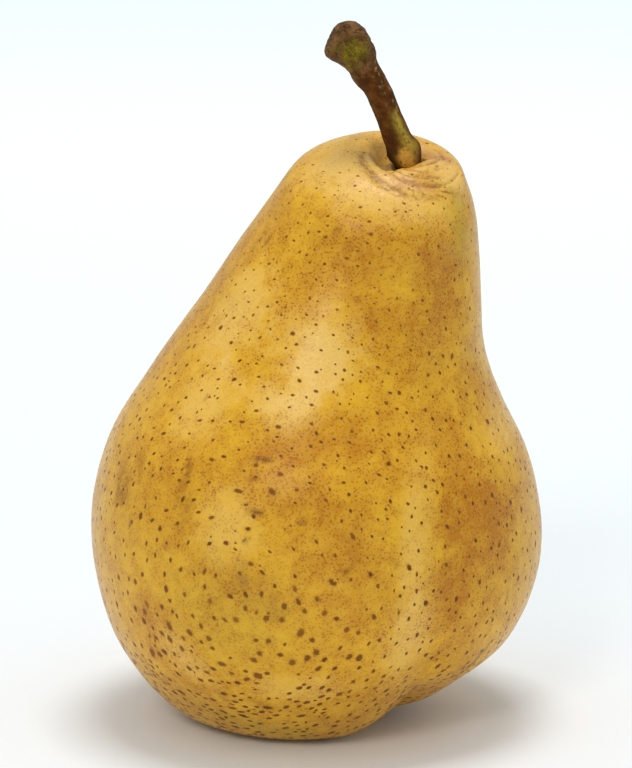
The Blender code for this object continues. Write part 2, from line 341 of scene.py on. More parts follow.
def store(mesh: bpy.types.Mesh, name: str, domain: str, values: np.ndarray) -> None:
    """Keeps three numbers for each vertex or face corner as a named attribute.

    Args:
        mesh: the mesh.
        name: the attribute's name, which a material reads.
        domain: POINT or CORNER.
        values: the numbers, three a row.
    """
    layer = mesh.attributes.new(name, "FLOAT_VECTOR", domain)
    layer.data.foreach_set("vector", values.astype(np.float32).ravel())


def round_places(mesh: bpy.types.Mesh) -> tuple[np.ndarray, np.ndarray, np.ndarray]:
    """The angle, radius and distance of each vertex of a turned shape."""
    x, y, z = points_of(mesh).T
    return np.arctan2(y, x), np.hypot(x, y), z.copy()


class Line:
    """A bent line, read by the distance along it, with the axes of its cross section."""

    def __init__(
        self, points: tuple | np.ndarray, side_leans: tuple[float, float] = (1.0, 1.0)
    ) -> None:
        """Measures the line.

        Args:
            points: the points that the line goes through.
            side_leans: the shares of its sideways lean that its lowest and highest cross
                sections follow.
        """
        self.points = smooth_curve(points, 24)
        gaps = np.linalg.norm(np.diff(self.points, axis=0), axis=1)
        self.along = np.concatenate([[0.0], np.cumsum(gaps)])
        self.length = float(self.along[-1])
        self.side_leans = side_leans

    def at(self, distance: Number) -> np.ndarray:
        """The places at these distances, with both ends carried on straight."""
        distance = np.asarray(distance, float)
        inside = np.clip(distance, 0.0, self.length)
        columns = [np.interp(inside, self.along, column) for column in self.points.T]
        below = np.minimum(distance, 0.0)[..., None] * unit(self.points[1] - self.points[0])
        above = np.maximum(distance - self.length, 0.0)[..., None]
        return np.stack(columns, axis=-1) + below + above * unit(self.points[-1] - self.points[-2])

    def ahead(self, distance: Number, reach: float) -> np.ndarray:
        """The direction of the line at these distances, measured over this reach."""
        inside = np.clip(distance, 0.0, self.length)
        step = self.at(inside + reach) - self.at(inside - reach)
        low, high = self.side_leans
        step[..., 0] *= low + (high - low) * smooth_step(*LEAN_RISES, inside)
        return unit(step)


def across(ahead: np.ndarray, angle: Number, radius: Number) -> np.ndarray:
    """The offset, in the cross section that faces this way, at this angle and radius."""
    side = unit(np.array((1.0, 0.0, 0.0)) - ahead * ahead[..., :1])
    back = np.cross(ahead, side)
    return side * (np.cos(angle) * radius)[..., None] + back * (np.sin(angle) * radius)[..., None]


def furrow(angle: Number, middle: Number, width: Number, soft: float) -> Number:
    """1 in the middle of a furrow and less to either side, all in degrees."""
    off = (angle - middle + 180.0) % 360.0 - 180.0
    return np.exp(-(np.hypot(off, soft) - soft) / width)


@dataclass(frozen=True)
class FruitForm:
    """The fruit's form, as the solid has it: the outline, the bend, the crease and the lobes."""

    length: float = 0.1015
    width: float = 0.0758
    side_leans: tuple[float, float] = (0.5, 0.85)
    axis_reach: float = 0.008
    fullness: float = 0.0016
    fullness_angle: float = -100.0
    fullness_angle_reach: float = 60.0
    fullness_distance: float = 0.064
    fullness_distance_reach: float = 0.017
    base_slope_right: float = 0.090
    base_slope_back: float = -0.080
    base_slope_at_calyx: float = 0.60
    base_slope_full: float = 0.010
    base_slope_fades: float = 0.042
    right_lift: float = 0.0022
    right_lift_reach: tuple[float, float] = (0.003, 0.016)
    right_lift_fades: float = 0.016
    crease_angles: tuple[float, float, float] = (-42.0, -57.0, -48.0)
    crease_depths: tuple[float, float, float] = (0.0034, 0.0014, 0.0006)
    crease_widths: tuple[float, float] = (8.0, 15.0)
    crease_rounding: float = 4.0
    crease_swings: tuple[float, float] = (0.001, 0.014)
    crease_reaches_belly: tuple[float, float] = (0.003, 0.028)
    crease_reaches_neck: tuple[float, float] = (0.038, 0.080)
    crease_ends: tuple[float, float] = (0.084, 0.094)
    furrows: tuple[tuple[float, float], ...] = ((20.0, 0.0012), (95.0, 0.0015), (172.0, 0.0010))
    furrow_height: float = 0.026
    furrow_width: float = 14.0
    furrow_rounding: float = 8.0
    cuts_inward_from: float = 0.016
    cavity_shift_side: float = 0.0034
    cavity_shift_back: float = 0.0012
    cavity_shift_full: float = 0.006
    cavity_shift_starts: float = 0.016
    calyx_hole: float = 0.0033
    gap: float = 0.0003

    def core(self) -> Line:
        """The bent core line."""
        return Line(CORE, self.side_leans)

    def front_fullness(self, angle: Number, distance: Number) -> Number:
        """How far the upper belly stands out, at angles in degrees and distances."""
        off_angle = (angle - self.fullness_angle + 180.0) % 360.0 - 180.0
        off_distance = (distance - self.fullness_distance) / self.fullness_distance_reach
        off_angle = off_angle / self.fullness_angle_reach
        return self.fullness * np.exp(-(off_angle**2) - off_distance**2)

    def crease_angle(self, distance: Number) -> Number:
        """The angle of the main crease in degrees at these distances."""
        base, belly, neck = self.crease_angles
        middle = base + (belly - base) * smooth_step(*self.crease_swings, distance)
        return middle + (neck - belly) * smooth_step(*self.crease_reaches_neck, distance)

    def cut_depth(self, angle: Number, distance: Number) -> Number:
        """How deep the crease and the furrows cut in, at angles in degrees and distances."""
        belly = smooth_step(*self.crease_reaches_belly, distance)
        neck = smooth_step(*self.crease_reaches_neck, distance)
        base_depth, belly_depth, neck_depth = self.crease_depths
        depth = base_depth + (belly_depth - base_depth) * belly
        depth = depth + (neck_depth - belly_depth) * neck
        depth = depth * (1.0 - smooth_step(*self.crease_ends, distance))
        width = self.crease_widths[0] + (self.crease_widths[1] - self.crease_widths[0]) * belly
        cut = depth * furrow(angle, self.crease_angle(distance), width, self.crease_rounding)
        fade = 1.0 - smooth_step(0.0, self.furrow_height, distance)
        for middle, deep in self.furrows:
            cut = cut + deep * fade * furrow(angle, middle, self.furrow_width, self.furrow_rounding)
        return cut

    def seat(self, angle: Number, radius: Number, distance: Number) -> np.ndarray:
        """The places in the world of points given round the core line.

        Args:
            angle: radians round the line, 0 to the right and a quarter turn to the back.
            radius: how far they are from the line.
            distance: how far along the line they are.

        Returns:
            The places, one a row.
        """
        core = self.core()
        points = core.at(distance) + across(core.ahead(distance, self.axis_reach), angle, radius)
        rise = smooth_step(0.0, self.base_slope_full, distance)
        fade = 1.0 - smooth_step(0.0, self.base_slope_fades, distance)
        share = self.base_slope_at_calyx + (1.0 - self.base_slope_at_calyx) * rise
        slope = self.base_slope_right * share * points[..., 0]
        points[..., 2] += (slope + self.base_slope_back * points[..., 1]) * fade
        lift = self.right_lift * smooth_step(*self.right_lift_reach, points[..., 0])
        points[..., 2] += lift * (1.0 - smooth_step(0.0, self.right_lift_fades, distance))
        return points

    def cavity_shift(self, radius: Number, distance: Number) -> np.ndarray:
        """How far the rings of the stem cavity lie off the core line."""
        ahead = self.core().ahead(distance, self.axis_reach)
        reach = math.hypot(self.cavity_shift_side, self.cavity_shift_back)
        angle = math.atan2(self.cavity_shift_back, self.cavity_shift_side)
        share = 1.0 - smooth_step(self.cavity_shift_full, self.cavity_shift_starts, radius)
        share = np.where(distance < self.length / 2.0, 0.0, share)
        return across(ahead, np.full_like(share, angle), reach * share)

    def place(self, angle: Number, radius: Number, distance: Number) -> np.ndarray:
        """The places of the skin's points, with the creases cut and the lobes flattened."""
        full = radius + self.front_fullness(np.degrees(angle), distance)
        cut = self.cut_depth(np.degrees(angle), distance)
        inward = smooth_step(0.0, self.cuts_inward_from, distance)
        near_hole = smooth_step(self.calyx_hole, 2.5 * self.calyx_hole, full)
        shaped = radius > self.calyx_hole + self.gap
        pulled = np.where(shaped, full - cut * inward, radius)
        raised = np.where(shaped, distance + cut * (1.0 - inward) * near_hole, distance)
        points = self.seat(angle, pulled, raised) + self.cavity_shift(pulled, raised)
        points[:, 2] = np.maximum(points[:, 2], 0.0)
        return points

    def stem_line(self) -> Line:
        """The stem's line, from the mouth of its hole."""
        mouth = OUTLINE[-1][0] * self.length
        foot = self.core().at(mouth) + self.cavity_shift(np.zeros(1), np.full(1, mouth))[0]
        return Line(foot + np.array(STEM_ROUTE))

    def stem_mouth(self) -> np.ndarray:
        """The direction that the mouth of the stem hole faces."""
        return self.core().ahead(np.array(OUTLINE[-1][0] * self.length), self.axis_reach)

    def stem_root(self, angle: Number, radius: Number, depth: Number) -> np.ndarray:
        """The places this deep below the mouth of the stem hole, in sections along the mouth."""
        return self.stem_line().at(-depth) + across(self.stem_mouth(), angle, radius)


class MarkKind(Enum):
    """What a mark on the skin is: the attribute that keeps it, and its place there. Some pale marks
    are painted highlights and a painted light band, one bruise mark is a painted shadow, and two
    streak marks are painted shade along wrinkles.

    The first place of "lines" is the folds'.
    """

    AMBER = ("ripeness_and_painted_light", 0)
    PALE_AND_HIGHLIGHT = ("ripeness_and_painted_light", 1)
    GREEN = ("ripeness_and_painted_light", 2)
    RUSSET = ("rubs_and_shade", 0)
    BRUISE_AND_SHADE = ("rubs_and_shade", 1)
    SCRAPE = ("rubs_and_shade", 2)
    BLUSH = ("lines", 1)
    STREAK_AND_SHADE = ("lines", 2)


@dataclass(frozen=True)
class Mark:
    """A patch, bruise, scrape or streak on the front of the skin, or a painted highlight, painted
    light band or painted shadow there.
    """

    kind: MarkKind
    across: float
    down: float
    width: float
    height: float
    tilt: float = 0.0
    strength: float = 1.0
    ragged: float = 0.35


# Marks by their place in the picture in pixels, then their half width and half height in
# millimetres, and their tilt in degrees.
MARKS = (
    Mark(MarkKind.AMBER, 300, 448, 11.0, 3.6, 4.0, 0.60),
    Mark(MarkKind.AMBER, 352, 432, 7.0, 4.5, -25.0, 0.35),
    Mark(MarkKind.AMBER, 385, 325, 7.0, 5.0, 10.0, 0.6),
    Mark(MarkKind.AMBER, 350, 262, 7.5, 6.5, 0.0, 0.5),
    Mark(MarkKind.AMBER, 437, 285, 6.0, 9.5, 5.0, 0.75),
    Mark(MarkKind.AMBER, 484, 530, 9.5, 11.0, 15.0, 1.0),
    Mark(MarkKind.AMBER, 455, 470, 4.5, 13.0, 4.0, 0.7),
    Mark(MarkKind.AMBER, 447, 590, 5.0, 8.0, -12.0, 0.6),
    Mark(MarkKind.AMBER, 330, 545, 9.0, 9.0, 0.0, 0.45),
    Mark(MarkKind.AMBER, 280, 500, 8.0, 5.0, -15.0, 0.5),
    Mark(MarkKind.AMBER, 160, 615, 8.0, 4.5, -20.0, 0.55),
    Mark(MarkKind.AMBER, 255, 590, 10.0, 6.0, -20.0, 0.5),
    Mark(MarkKind.AMBER, 345, 610, 7.0, 5.0, 15.0, 0.4),
    Mark(MarkKind.AMBER, 262, 236, 3.0, 1.4, 35.0, 0.7),
    Mark(MarkKind.PALE_AND_HIGHLIGHT, 238, 312, 10.0, 7.0, 45.0, 0.7),
    Mark(MarkKind.PALE_AND_HIGHLIGHT, 205, 400, 9.0, 6.0, 50.0, 0.6),
    # A painted highlight on the neck.
    Mark(MarkKind.PALE_AND_HIGHLIGHT, 372, 195, 9.0, 5.0, -10.0, 0.35),
    # Two painted highlights on the upper belly.
    Mark(MarkKind.PALE_AND_HIGHLIGHT, 318, 345, 9.0, 7.0, -20.0, 0.55),
    Mark(MarkKind.PALE_AND_HIGHLIGHT, 280, 405, 7.0, 4.0, -20.0, 0.6),
    Mark(MarkKind.PALE_AND_HIGHLIGHT, 226, 525, 6.0, 7.0, 0.0, 0.5),
    Mark(MarkKind.PALE_AND_HIGHLIGHT, 185, 660, 8.0, 4.0, -40.0, 0.5),
    Mark(MarkKind.PALE_AND_HIGHLIGHT, 405, 640, 4.5, 9.0, -15.0, 0.5),
    Mark(MarkKind.PALE_AND_HIGHLIGHT, 500, 425, 5.0, 8.0, -15.0, 0.45),
    Mark(MarkKind.PALE_AND_HIGHLIGHT, 300, 690, 10.0, 4.0, 0.0, 0.4),
    Mark(MarkKind.GREEN, 461, 225, 3.0, 8.0, 8.0, 0.6),
    Mark(MarkKind.GREEN, 352, 140, 5.0, 1.8, 12.0, 0.25),
    Mark(MarkKind.GREEN, 225, 620, 14.0, 11.0, 0.0, 0.35),
    Mark(MarkKind.PALE_AND_HIGHLIGHT, 345, 165, 9.0, 5.5, 0.0, 0.7),
    Mark(MarkKind.PALE_AND_HIGHLIGHT, 400, 200, 12.0, 5.0, -10.0, 0.3),
    Mark(MarkKind.PALE_AND_HIGHLIGHT, 448, 172, 5.0, 4.0, -40.0, 0.7),
    # Two more painted highlights on the upper belly.
    Mark(MarkKind.PALE_AND_HIGHLIGHT, 318, 366, 5.0, 6.5, -15.0, 0.8),
    Mark(MarkKind.PALE_AND_HIGHLIGHT, 300, 400, 6.0, 3.0, 12.0, 0.6),
    # A painted light band beside the crease.
    Mark(MarkKind.PALE_AND_HIGHLIGHT, 412, 550, 2.6, 12.0, -4.0, 0.30),
    Mark(MarkKind.GREEN, 250, 725, 14.0, 3.0, -5.0, 0.5),
    Mark(MarkKind.RUSSET, 122, 486, 2.6, 5.5, -8.0, 0.85),
    Mark(MarkKind.RUSSET, 141, 460, 1.2, 2.2, 0.0, 0.6),
    Mark(MarkKind.RUSSET, 188, 466, 1.0, 2.0, -10.0, 1.2),
    Mark(MarkKind.RUSSET, 184, 500, 2.4, 5.0, -5.0, 0.65),
    Mark(MarkKind.RUSSET, 105, 604, 0.9, 3.0, 5.0, 0.7),
    Mark(MarkKind.RUSSET, 338, 230, 1.2, 0.9, 0.0, 0.8),
    Mark(MarkKind.RUSSET, 428, 186, 5.5, 1.2, -6.0, 0.45),
    Mark(MarkKind.RUSSET, 160, 532, 1.5, 0.9, -20.0, 0.6),
    Mark(MarkKind.RUSSET, 267, 706, 3.5, 1.4, -20.0, 0.5),
    Mark(MarkKind.RUSSET, 225, 697, 2.6, 1.3, -20.0, 0.45),
    Mark(MarkKind.BRUISE_AND_SHADE, 243, 580, 1.2, 2.2, 15.0, 0.6),
    Mark(MarkKind.BRUISE_AND_SHADE, 276, 614, 2.4, 1.7, 20.0, 0.5),
    Mark(MarkKind.BRUISE_AND_SHADE, 262, 598, 5.0, 3.6, 30.0, 0.22),
    Mark(MarkKind.BRUISE_AND_SHADE, 356, 138, 3.5, 1.0, 14.0, 0.4),
    Mark(MarkKind.SCRAPE, 476, 660, 3.0, 0.8, 40.0, 1.0),
    Mark(MarkKind.SCRAPE, 484, 650, 2.4, 0.5, 35.0, 0.8),
    Mark(MarkKind.SCRAPE, 508, 594, 0.5, 0.9, 10.0, 1.0),
    Mark(MarkKind.SCRAPE, 509, 618, 0.4, 1.1, -15.0, 0.7),
    Mark(MarkKind.STREAK_AND_SHADE, 256, 512, 2.3, 0.60, -22.0, 1.5, 0.2),
    Mark(MarkKind.STREAK_AND_SHADE, 262, 460, 1.8, 0.65, -3.0, 1.2, 0.2),
    Mark(MarkKind.STREAK_AND_SHADE, 206, 398, 0.9, 0.50, 22.0, 1.2, 0.2),
    Mark(MarkKind.STREAK_AND_SHADE, 302, 521, 0.9, 0.55, -25.0, 1.2, 0.2),
    Mark(MarkKind.STREAK_AND_SHADE, 246, 541, 0.9, 0.55, -25.0, 1.2, 0.2),
    Mark(MarkKind.STREAK_AND_SHADE, 130, 524, 0.5, 1.4, 8.0, 1.1, 0.2),
    Mark(MarkKind.RUSSET, 166, 548, 0.8, 1.0, 0.0, 1.0, 0.6),
    Mark(MarkKind.RUSSET, 253, 478, 1.0, 0.8, 0.0, 1.0, 0.5),
    # Two thin lines of painted shade along fine wrinkles at the lower front.
    Mark(MarkKind.STREAK_AND_SHADE, 295, 662, 2.6, 0.28, 2.0, 0.45),
    Mark(MarkKind.STREAK_AND_SHADE, 290, 669, 2.6, 0.28, -3.0, 0.45),
    Mark(MarkKind.STREAK_AND_SHADE, 268, 240, 1.6, 0.5, 35.0, 0.6),
    Mark(MarkKind.STREAK_AND_SHADE, 398, 565, 0.9, 0.35, 10.0, 0.8),
    Mark(MarkKind.STREAK_AND_SHADE, 347, 572, 0.5, 0.9, 0.0, 0.8),
    Mark(MarkKind.BLUSH, 304, 344, 1.6, 1.4, 0.0, 0.5),
    Mark(MarkKind.BLUSH, 495, 404, 0.5, 1.0, 0.0, 0.9),
    Mark(MarkKind.BLUSH, 491, 624, 0.3, 1.3, -10.0, 0.9),
    Mark(MarkKind.BLUSH, 438, 157, 3.2, 2.2, -12.0, 0.8),
    Mark(MarkKind.RUSSET, 436, 158, 3.0, 1.8, -15.0, 0.55, 0.6),
    Mark(MarkKind.BLUSH, 404, 182, 3.8, 1.9, -30.0, 0.8),
    Mark(MarkKind.BLUSH, 428, 190, 2.8, 1.2, -6.0, 0.7),
    Mark(MarkKind.PALE_AND_HIGHLIGHT, 396, 178, 4.0, 2.0, -35.0, 0.7),
    Mark(MarkKind.RUSSET, 371, 156, 1.1, 0.7, -30.0, 0.6),
    Mark(MarkKind.RUSSET, 397, 188, 1.2, 0.6, -20.0, 0.5),
    # A dark spot beside the left front of the stem's foot.
    Mark(MarkKind.SCRAPE, 394, 164, 0.8, 0.7, -35.0, 0.9),
    # A painted shadow in the hollow behind the left of the stem.
    Mark(MarkKind.BRUISE_AND_SHADE, 377, 147, 1.6, 2.4, -20.0, 0.9),
    Mark(MarkKind.STREAK_AND_SHADE, 402, 181, 1.4, 0.27, -28.0, 1.3, 0.15),
    Mark(MarkKind.STREAK_AND_SHADE, 413, 185, 1.2, 0.27, -6.0, 1.3, 0.15),
    Mark(MarkKind.STREAK_AND_SHADE, 411, 190, 1.5, 0.25, -22.0, 1.2, 0.15),
    Mark(MarkKind.STREAK_AND_SHADE, 427, 195, 2.0, 0.27, -8.0, 1.3, 0.15),
    Mark(MarkKind.STREAK_AND_SHADE, 441, 196, 1.4, 0.25, 2.0, 1.2, 0.15),
    Mark(MarkKind.STREAK_AND_SHADE, 446, 192, 2.1, 0.25, 7.0, 1.1, 0.15),
    Mark(MarkKind.STREAK_AND_SHADE, 424, 173, 1.7, 0.30, 12.0, 1.3, 0.15),
    Mark(MarkKind.STREAK_AND_SHADE, 436, 167, 1.1, 0.28, 50.0, 1.2, 0.15),
)


@dataclass(frozen=True)
class Fold:
    """A fold round the stem: a spiral line in the cavity, in millimetres and degrees."""

    radius: float
    drift: float
    start: float
    end: float
    depth: float
    width: float


FOLDS = (
    Fold(6.9, 4.6, -205.0, -35.0, 0.28, 0.70),
    Fold(5.9, 3.2, -150.0, -40.0, 0.20, 0.35),
    Fold(4.9, 3.0, -140.0, -25.0, 0.30, 0.38),
    Fold(4.1, 2.4, -130.0, -15.0, 0.24, 0.32),
    Fold(3.5, 1.4, -120.0, 15.0, 0.26, 0.35),
    Fold(5.2, 0.8, -20.0, 60.0, 0.22, 0.40),
    Fold(4.2, 1.2, 60.0, 150.0, 0.14, 0.45),
    Fold(8.0, 1.0, -75.0, 5.0, 0.22, 0.40),
)

# The broad hollow behind the left of the stem, whose depth doesn't colour the skin; a painted
# shadow mark lies in it.
HOLLOW = Fold(4.7, 0.0, 105.0, 250.0, 1.90, 1.7)


@dataclass(frozen=True)
class Softbox:
    """A soft square light: its place, side and aim in metres, its watts and its beam's degrees."""

    name: str
    place: tuple[float, float, float]
    size: float
    power: float
    colour: str
    aim: tuple[float, float, float] = (0.0, 0.0, 0.05)
    beam: float = 180.0


@dataclass(frozen=True)
class Studio:
    """The floor, the lights and the camera."""

    aim: tuple[float, float, float] = (-0.0002, -0.0007, 0.0572)
    elevation: float = 12.0
    distance: float = 0.600
    focal_pixels: float = 3600.0
    sensor: float = 36.0
    floor_size: float = 4.0
    floor_near: str = "#f4f8fc"
    floor_far: str = "#fafefe"
    floor_fades: tuple[float, float] = (-0.05, 0.35)
    world_colour: str = "#f6fdff"
    world_strength: float = 0.61
    softboxes: tuple[Softbox, ...] = (
        Softbox("overhead_softbox", (0.04, 0.02, 0.95), 0.34, 3.8, "#fffcf9"),
        Softbox("front_softbox", (-0.26, -0.80, 0.60), 0.24, 1.9, "#fff6ef"),
        Softbox(
            "background_softbox", (0.0, 1.0, 0.7), 1.1, 1.4, "#f0ffff", (0.0, 1.0, 0.0), 70.0
        ),
    )

    def eye(self) -> Vector:
        """Where the camera stands."""
        rise = math.radians(self.elevation)
        away = Vector((0.0, -math.cos(rise), math.sin(rise)))
        return Vector(self.aim) + away * self.distance

    def ray(self, across_pixels: float, down_pixels: float) -> Vector:
        """The direction from the camera through a place in the picture."""
        rise = math.radians(self.elevation)
        forward = Vector((0.0, math.cos(rise), -math.sin(rise)))
        up = Vector((0.0, math.sin(rise), math.cos(rise)))
        right = (across_pixels - PICTURE_WIDTH / 2.0) / self.focal_pixels
        high = (PICTURE_HEIGHT / 2.0 - down_pixels) / self.focal_pixels
        return (forward + Vector((right, 0.0, 0.0)) + up * high).normalized()

    def add_camera(self) -> None:
        """Adds the camera at the picture's viewing angle."""
        data = bpy.data.cameras.new("camera")
        data.sensor_fit = "VERTICAL"
        data.sensor_height = self.sensor
        data.lens = self.focal_pixels * self.sensor / PICTURE_HEIGHT
        data.clip_start = 0.01
        camera = bpy.data.objects.new("camera", data)
        camera.location = self.eye()
        camera.rotation_euler = (math.radians(90.0 - self.elevation), 0.0, 0.0)
        bpy.context.scene.collection.objects.link(camera)
        bpy.context.scene.camera = camera

    def add_world(self) -> None:
        """Surrounds the scene with soft white light, as a light tent does."""
        world = bpy.data.worlds.new("light_tent")
        world.use_nodes = True
        tree = world.node_tree
        tree.nodes.clear()
        glow = add_node(
            tree,
            "ShaderNodeBackground",
            inputs={"Color": linear(self.world_colour), "Strength": self.world_strength},
        )
        add_node(tree, "ShaderNodeOutputWorld", inputs={"Surface": glow.outputs[0]})
        bpy.context.scene.world = world

    def add_light(self, softbox: Softbox) -> None:
        """Adds a softbox, turned to what it lights."""
        data = bpy.data.lights.new(softbox.name, "AREA")
        data.shape = "SQUARE"
        data.size = softbox.size
        data.energy = softbox.power
        data.color = linear(softbox.colour)[:3]
        data.spread = math.radians(softbox.beam)
        light = bpy.data.objects.new(softbox.name, data)
        light.location = softbox.place
        towards = Vector(softbox.aim) - Vector(softbox.place)
        light.rotation_euler = towards.to_track_quat("-Z", "Y").to_euler()
        bpy.context.scene.collection.objects.link(light)

    def add_floor(self) -> None:
        """Lays the pale floor, a little brighter further back."""
        shape = bmesh.new()
        bmesh.ops.create_grid(shape, x_segments=1, y_segments=1, size=self.floor_size)
        mesh = mesh_from(shape, "floor")
        material = bpy.data.materials.new("white_paper_sweep")
        material.use_nodes = True
        tree = material.node_tree
        shader = tree.nodes["Principled BSDF"]
        shader.inputs["Roughness"].default_value = 0.9
        place = add_node(tree, "ShaderNodeTexCoord")
        parts = add_node(tree, "ShaderNodeSeparateXYZ", inputs={0: place.outputs["Object"]})
        near, far = self.floor_fades
        back = add_node(
            tree,
            "ShaderNodeMapRange",
            {"interpolation_type": "SMOOTHSTEP"},
            {"Value": parts.outputs["Y"], "From Min": near, "From Max": far},
        )
        tint = layered(
            tree, linear(self.floor_near), [(back.outputs[0], linear(self.floor_far))]
        )
        tree.links.new(tint, shader.inputs["Base Color"])
        mesh.materials.append(material)
        floor = bpy.data.objects.new("floor", mesh)
        bpy.context.scene.collection.objects.link(floor)

    def build(self) -> None:
        """Adds the floor, the world, the lights and the camera."""
        self.add_floor()
        self.add_world()
        for softbox in self.softboxes:
            self.add_light(softbox)
        self.add_camera()
        bpy.context.scene.view_settings.view_transform = "Standard"


@dataclass(frozen=True)
class SkinFinish:
    """Pear skin with its natural wax: a satin sheen over a golden, speckled colour, which also
    holds painted highlights, painted light and painted shade.
    """

    golden: str = "#e0ab22"
    pale: str = "#f0ca7e"
    amber: str = "#b9760a"
    green: str = "#ad9d2c"
    russet: str = "#935a18"
    bruise: str = "#85652a"
    scrape: str = "#32300c"
    streak: str = "#78450f"
    blush: str = "#c08658"
    pore: str = "#a56606"
    lenticel: str = "#683802"
    lenticel_light: str = "#96620e"
    specular: float = 0.24
    roughness: float = 0.30
    mottle_size: float = 13.0
    patch_size: float = 4.2
    blotch_size: float = 2.1
    grain_size: float = 0.8
    pore_size: float = 0.47

    def material(self) -> bpy.types.Material:
        """Builds the skin's material.

        Returns:
            The material, which reads Object coordinates and the skin's own attributes.
        """
        material = bpy.data.materials.new("waxy_pear_skin")
        material.use_nodes = True
        tree = material.node_tree
        shader = tree.nodes["Principled BSDF"]
        shader.inputs["IOR"].default_value = 1.45
        shader.inputs["Specular IOR Level"].default_value = self.specular
        place = add_node(tree, "ShaderNodeTexCoord").outputs["Object"]
        ripeness_and_painted_light = self.channels(tree, "ripeness_and_painted_light")
        rubs_and_shade = self.channels(tree, "rubs_and_shade")
        lines = self.channels(tree, "lines")
        mottle = self.lumps(tree, place, self.mottle_size, 3.0, 0.40, 0.64)
        patch = self.lumps(tree, place, self.patch_size, 4.0, 0.36, 0.68)
        blotch = self.lumps(tree, place, self.blotch_size, 3.0, 0.36, 0.66)
        grain = self.lumps(tree, place, self.grain_size, 3.0, 0.30, 0.70)

        # Golden ground with amber clouds, more of them where the skin is riper and on the painted
        # shade beside the crease, a pale coat that holds pale skin, painted highlights and a
        # painted light band beside the crease, and a fine pale grain. The dots between are slightly
        # darker, and denser in the amber parts.
        clouds = weighed(
            tree,
            [
                (mottle, 0.30),
                (patch, 0.22),
                (blotch, 0.20),
                (ripeness_and_painted_light[0], 0.62),
                (ripeness_and_painted_light[1], -0.40),
            ],
        )
        pores = self.pores(tree, place, clouds, patch)
        edge = weighed(tree, [(grain, 0.9), (patch, 0.5)])
        coats = [
            # The amber clouds also lay the painted shade beside the crease.
            (clouds, linear(self.amber)),
            # The pale coat also lays the painted highlights and the painted light beside the
            # crease.
            (weighed(tree, [(ripeness_and_painted_light[1], 0.52)]), linear(self.pale)),
            (weighed(tree, [(grain, 0.07)]), linear(self.pale)),
            (weighed(tree, [(ripeness_and_painted_light[2], 0.60)]), linear(self.green)),
            (pores, linear(self.pore)),
        ]
        for amount, colour, share in (
            (rubs_and_shade[0], self.russet, 0.85),
            # The bruise colour also lays a painted shadow behind the stem.
            (rubs_and_shade[1], self.bruise, 0.60),
            # The streak colour also lays painted shade lines along wrinkles.
            (lines[2], self.streak, 0.90),
            (lines[1], self.blush, 0.60),
            (rubs_and_shade[2], self.scrape, 0.95),
            # The folds, darker by their depth.
            (lines[0], self.streak, 0.75),
        ):
            worn = add_node(tree, "ShaderNodeMath", {"operation": "MULTIPLY"}, {0: amount, 1: edge})
            coats.append((weighed(tree, [(worn.outputs[0], share)]), linear(colour)))
        spot, halo, tone, dark = self.lenticels(tree, place)
        brown = layered(
            tree,
            linear(self.lenticel),
            [(tone, linear(self.lenticel_light)), (dark, linear(self.scrape))],
        )
        coats += [(halo, linear(self.pore)), (spot, brown)]
        colour = layered(tree, linear(self.golden), coats)
        tree.links.new(colour, shader.inputs["Base Color"])

        # The wax is a little duller on the specks and in the grain.
        dull = weighed(
            tree, [(grain, 0.10), (spot, 0.22), (rubs_and_shade[0], 0.15)], start=self.roughness - 0.04
        )
        tree.links.new(dull, shader.inputs["Roughness"])
        height = weighed(
            tree, [(grain, 0.5), (patch, 0.6), (blotch, 0.4), (spot, 0.5), (pores, -0.3)]
        )
        bump = add_node(
            tree,
            "ShaderNodeBump",
            inputs={"Strength": 0.8, "Distance": 0.05 * MM, "Height": height},
        )
        tree.links.new(bump.outputs[0], shader.inputs["Normal"])
        return material

    @staticmethod
    def channels(tree: Tree, name: str) -> list[Feed]:
        """The three numbers of one of the mesh's attributes."""
        layer = add_node(tree, "ShaderNodeAttribute", {"attribute_name": name})
        parts = add_node(tree, "ShaderNodeSeparateXYZ", inputs={0: layer.outputs["Vector"]})
        return [parts.outputs[index] for index in range(3)]

    @staticmethod
    def lumps(tree: Tree, place: Feed, size: float, detail: float, low: float, high: float) -> Feed:
        """Soft noise from 0 to 1.

        Args:
            tree: the node tree.
            place: the socket with the coordinates.
            size: millimetres from lump to lump.
            detail: how many finer octaves it has.
            low: the noise value that becomes 0.
            high: the noise value that becomes 1.

        Returns:
            The socket with the amount.
        """
        lump = add_node(
            tree,
            "ShaderNodeTexNoise",
            inputs={
                "Vector": place,
                "Scale": 1.0 / (size * MM),
                "Detail": detail,
                "Roughness": 0.55,
            },
        )
        spread = add_node(
            tree,
            "ShaderNodeMapRange",
            {"interpolation_type": "SMOOTHSTEP"},
            {"Value": lump.outputs["Fac"], "From Min": low, "From Max": high},
        )
        return spread.outputs[0]

    def pores(self, tree: Tree, place: Feed, clouds: Feed, patch: Feed) -> Feed:
        """Fine dots in the skin, as small as a pixel of the picture."""
        cells = add_node(
            tree,
            "ShaderNodeTexVoronoi",
            inputs={"Vector": place, "Scale": 1.0 / (self.pore_size * MM)},
        )
        dots = add_node(
            tree,
            "ShaderNodeMapRange",
            {"interpolation_type": "SMOOTHSTEP"},
            {"Value": cells.outputs["Distance"], "From Min": 0.48, "From Max": 0.20},
        )
        amount = weighed(tree, [(clouds, 0.90), (patch, 0.20)], start=0.14)
        dotted = add_node(
            tree, "ShaderNodeMath", {"operation": "MULTIPLY"}, {0: dots.outputs[0], 1: amount}
        )
        return dotted.outputs[0]

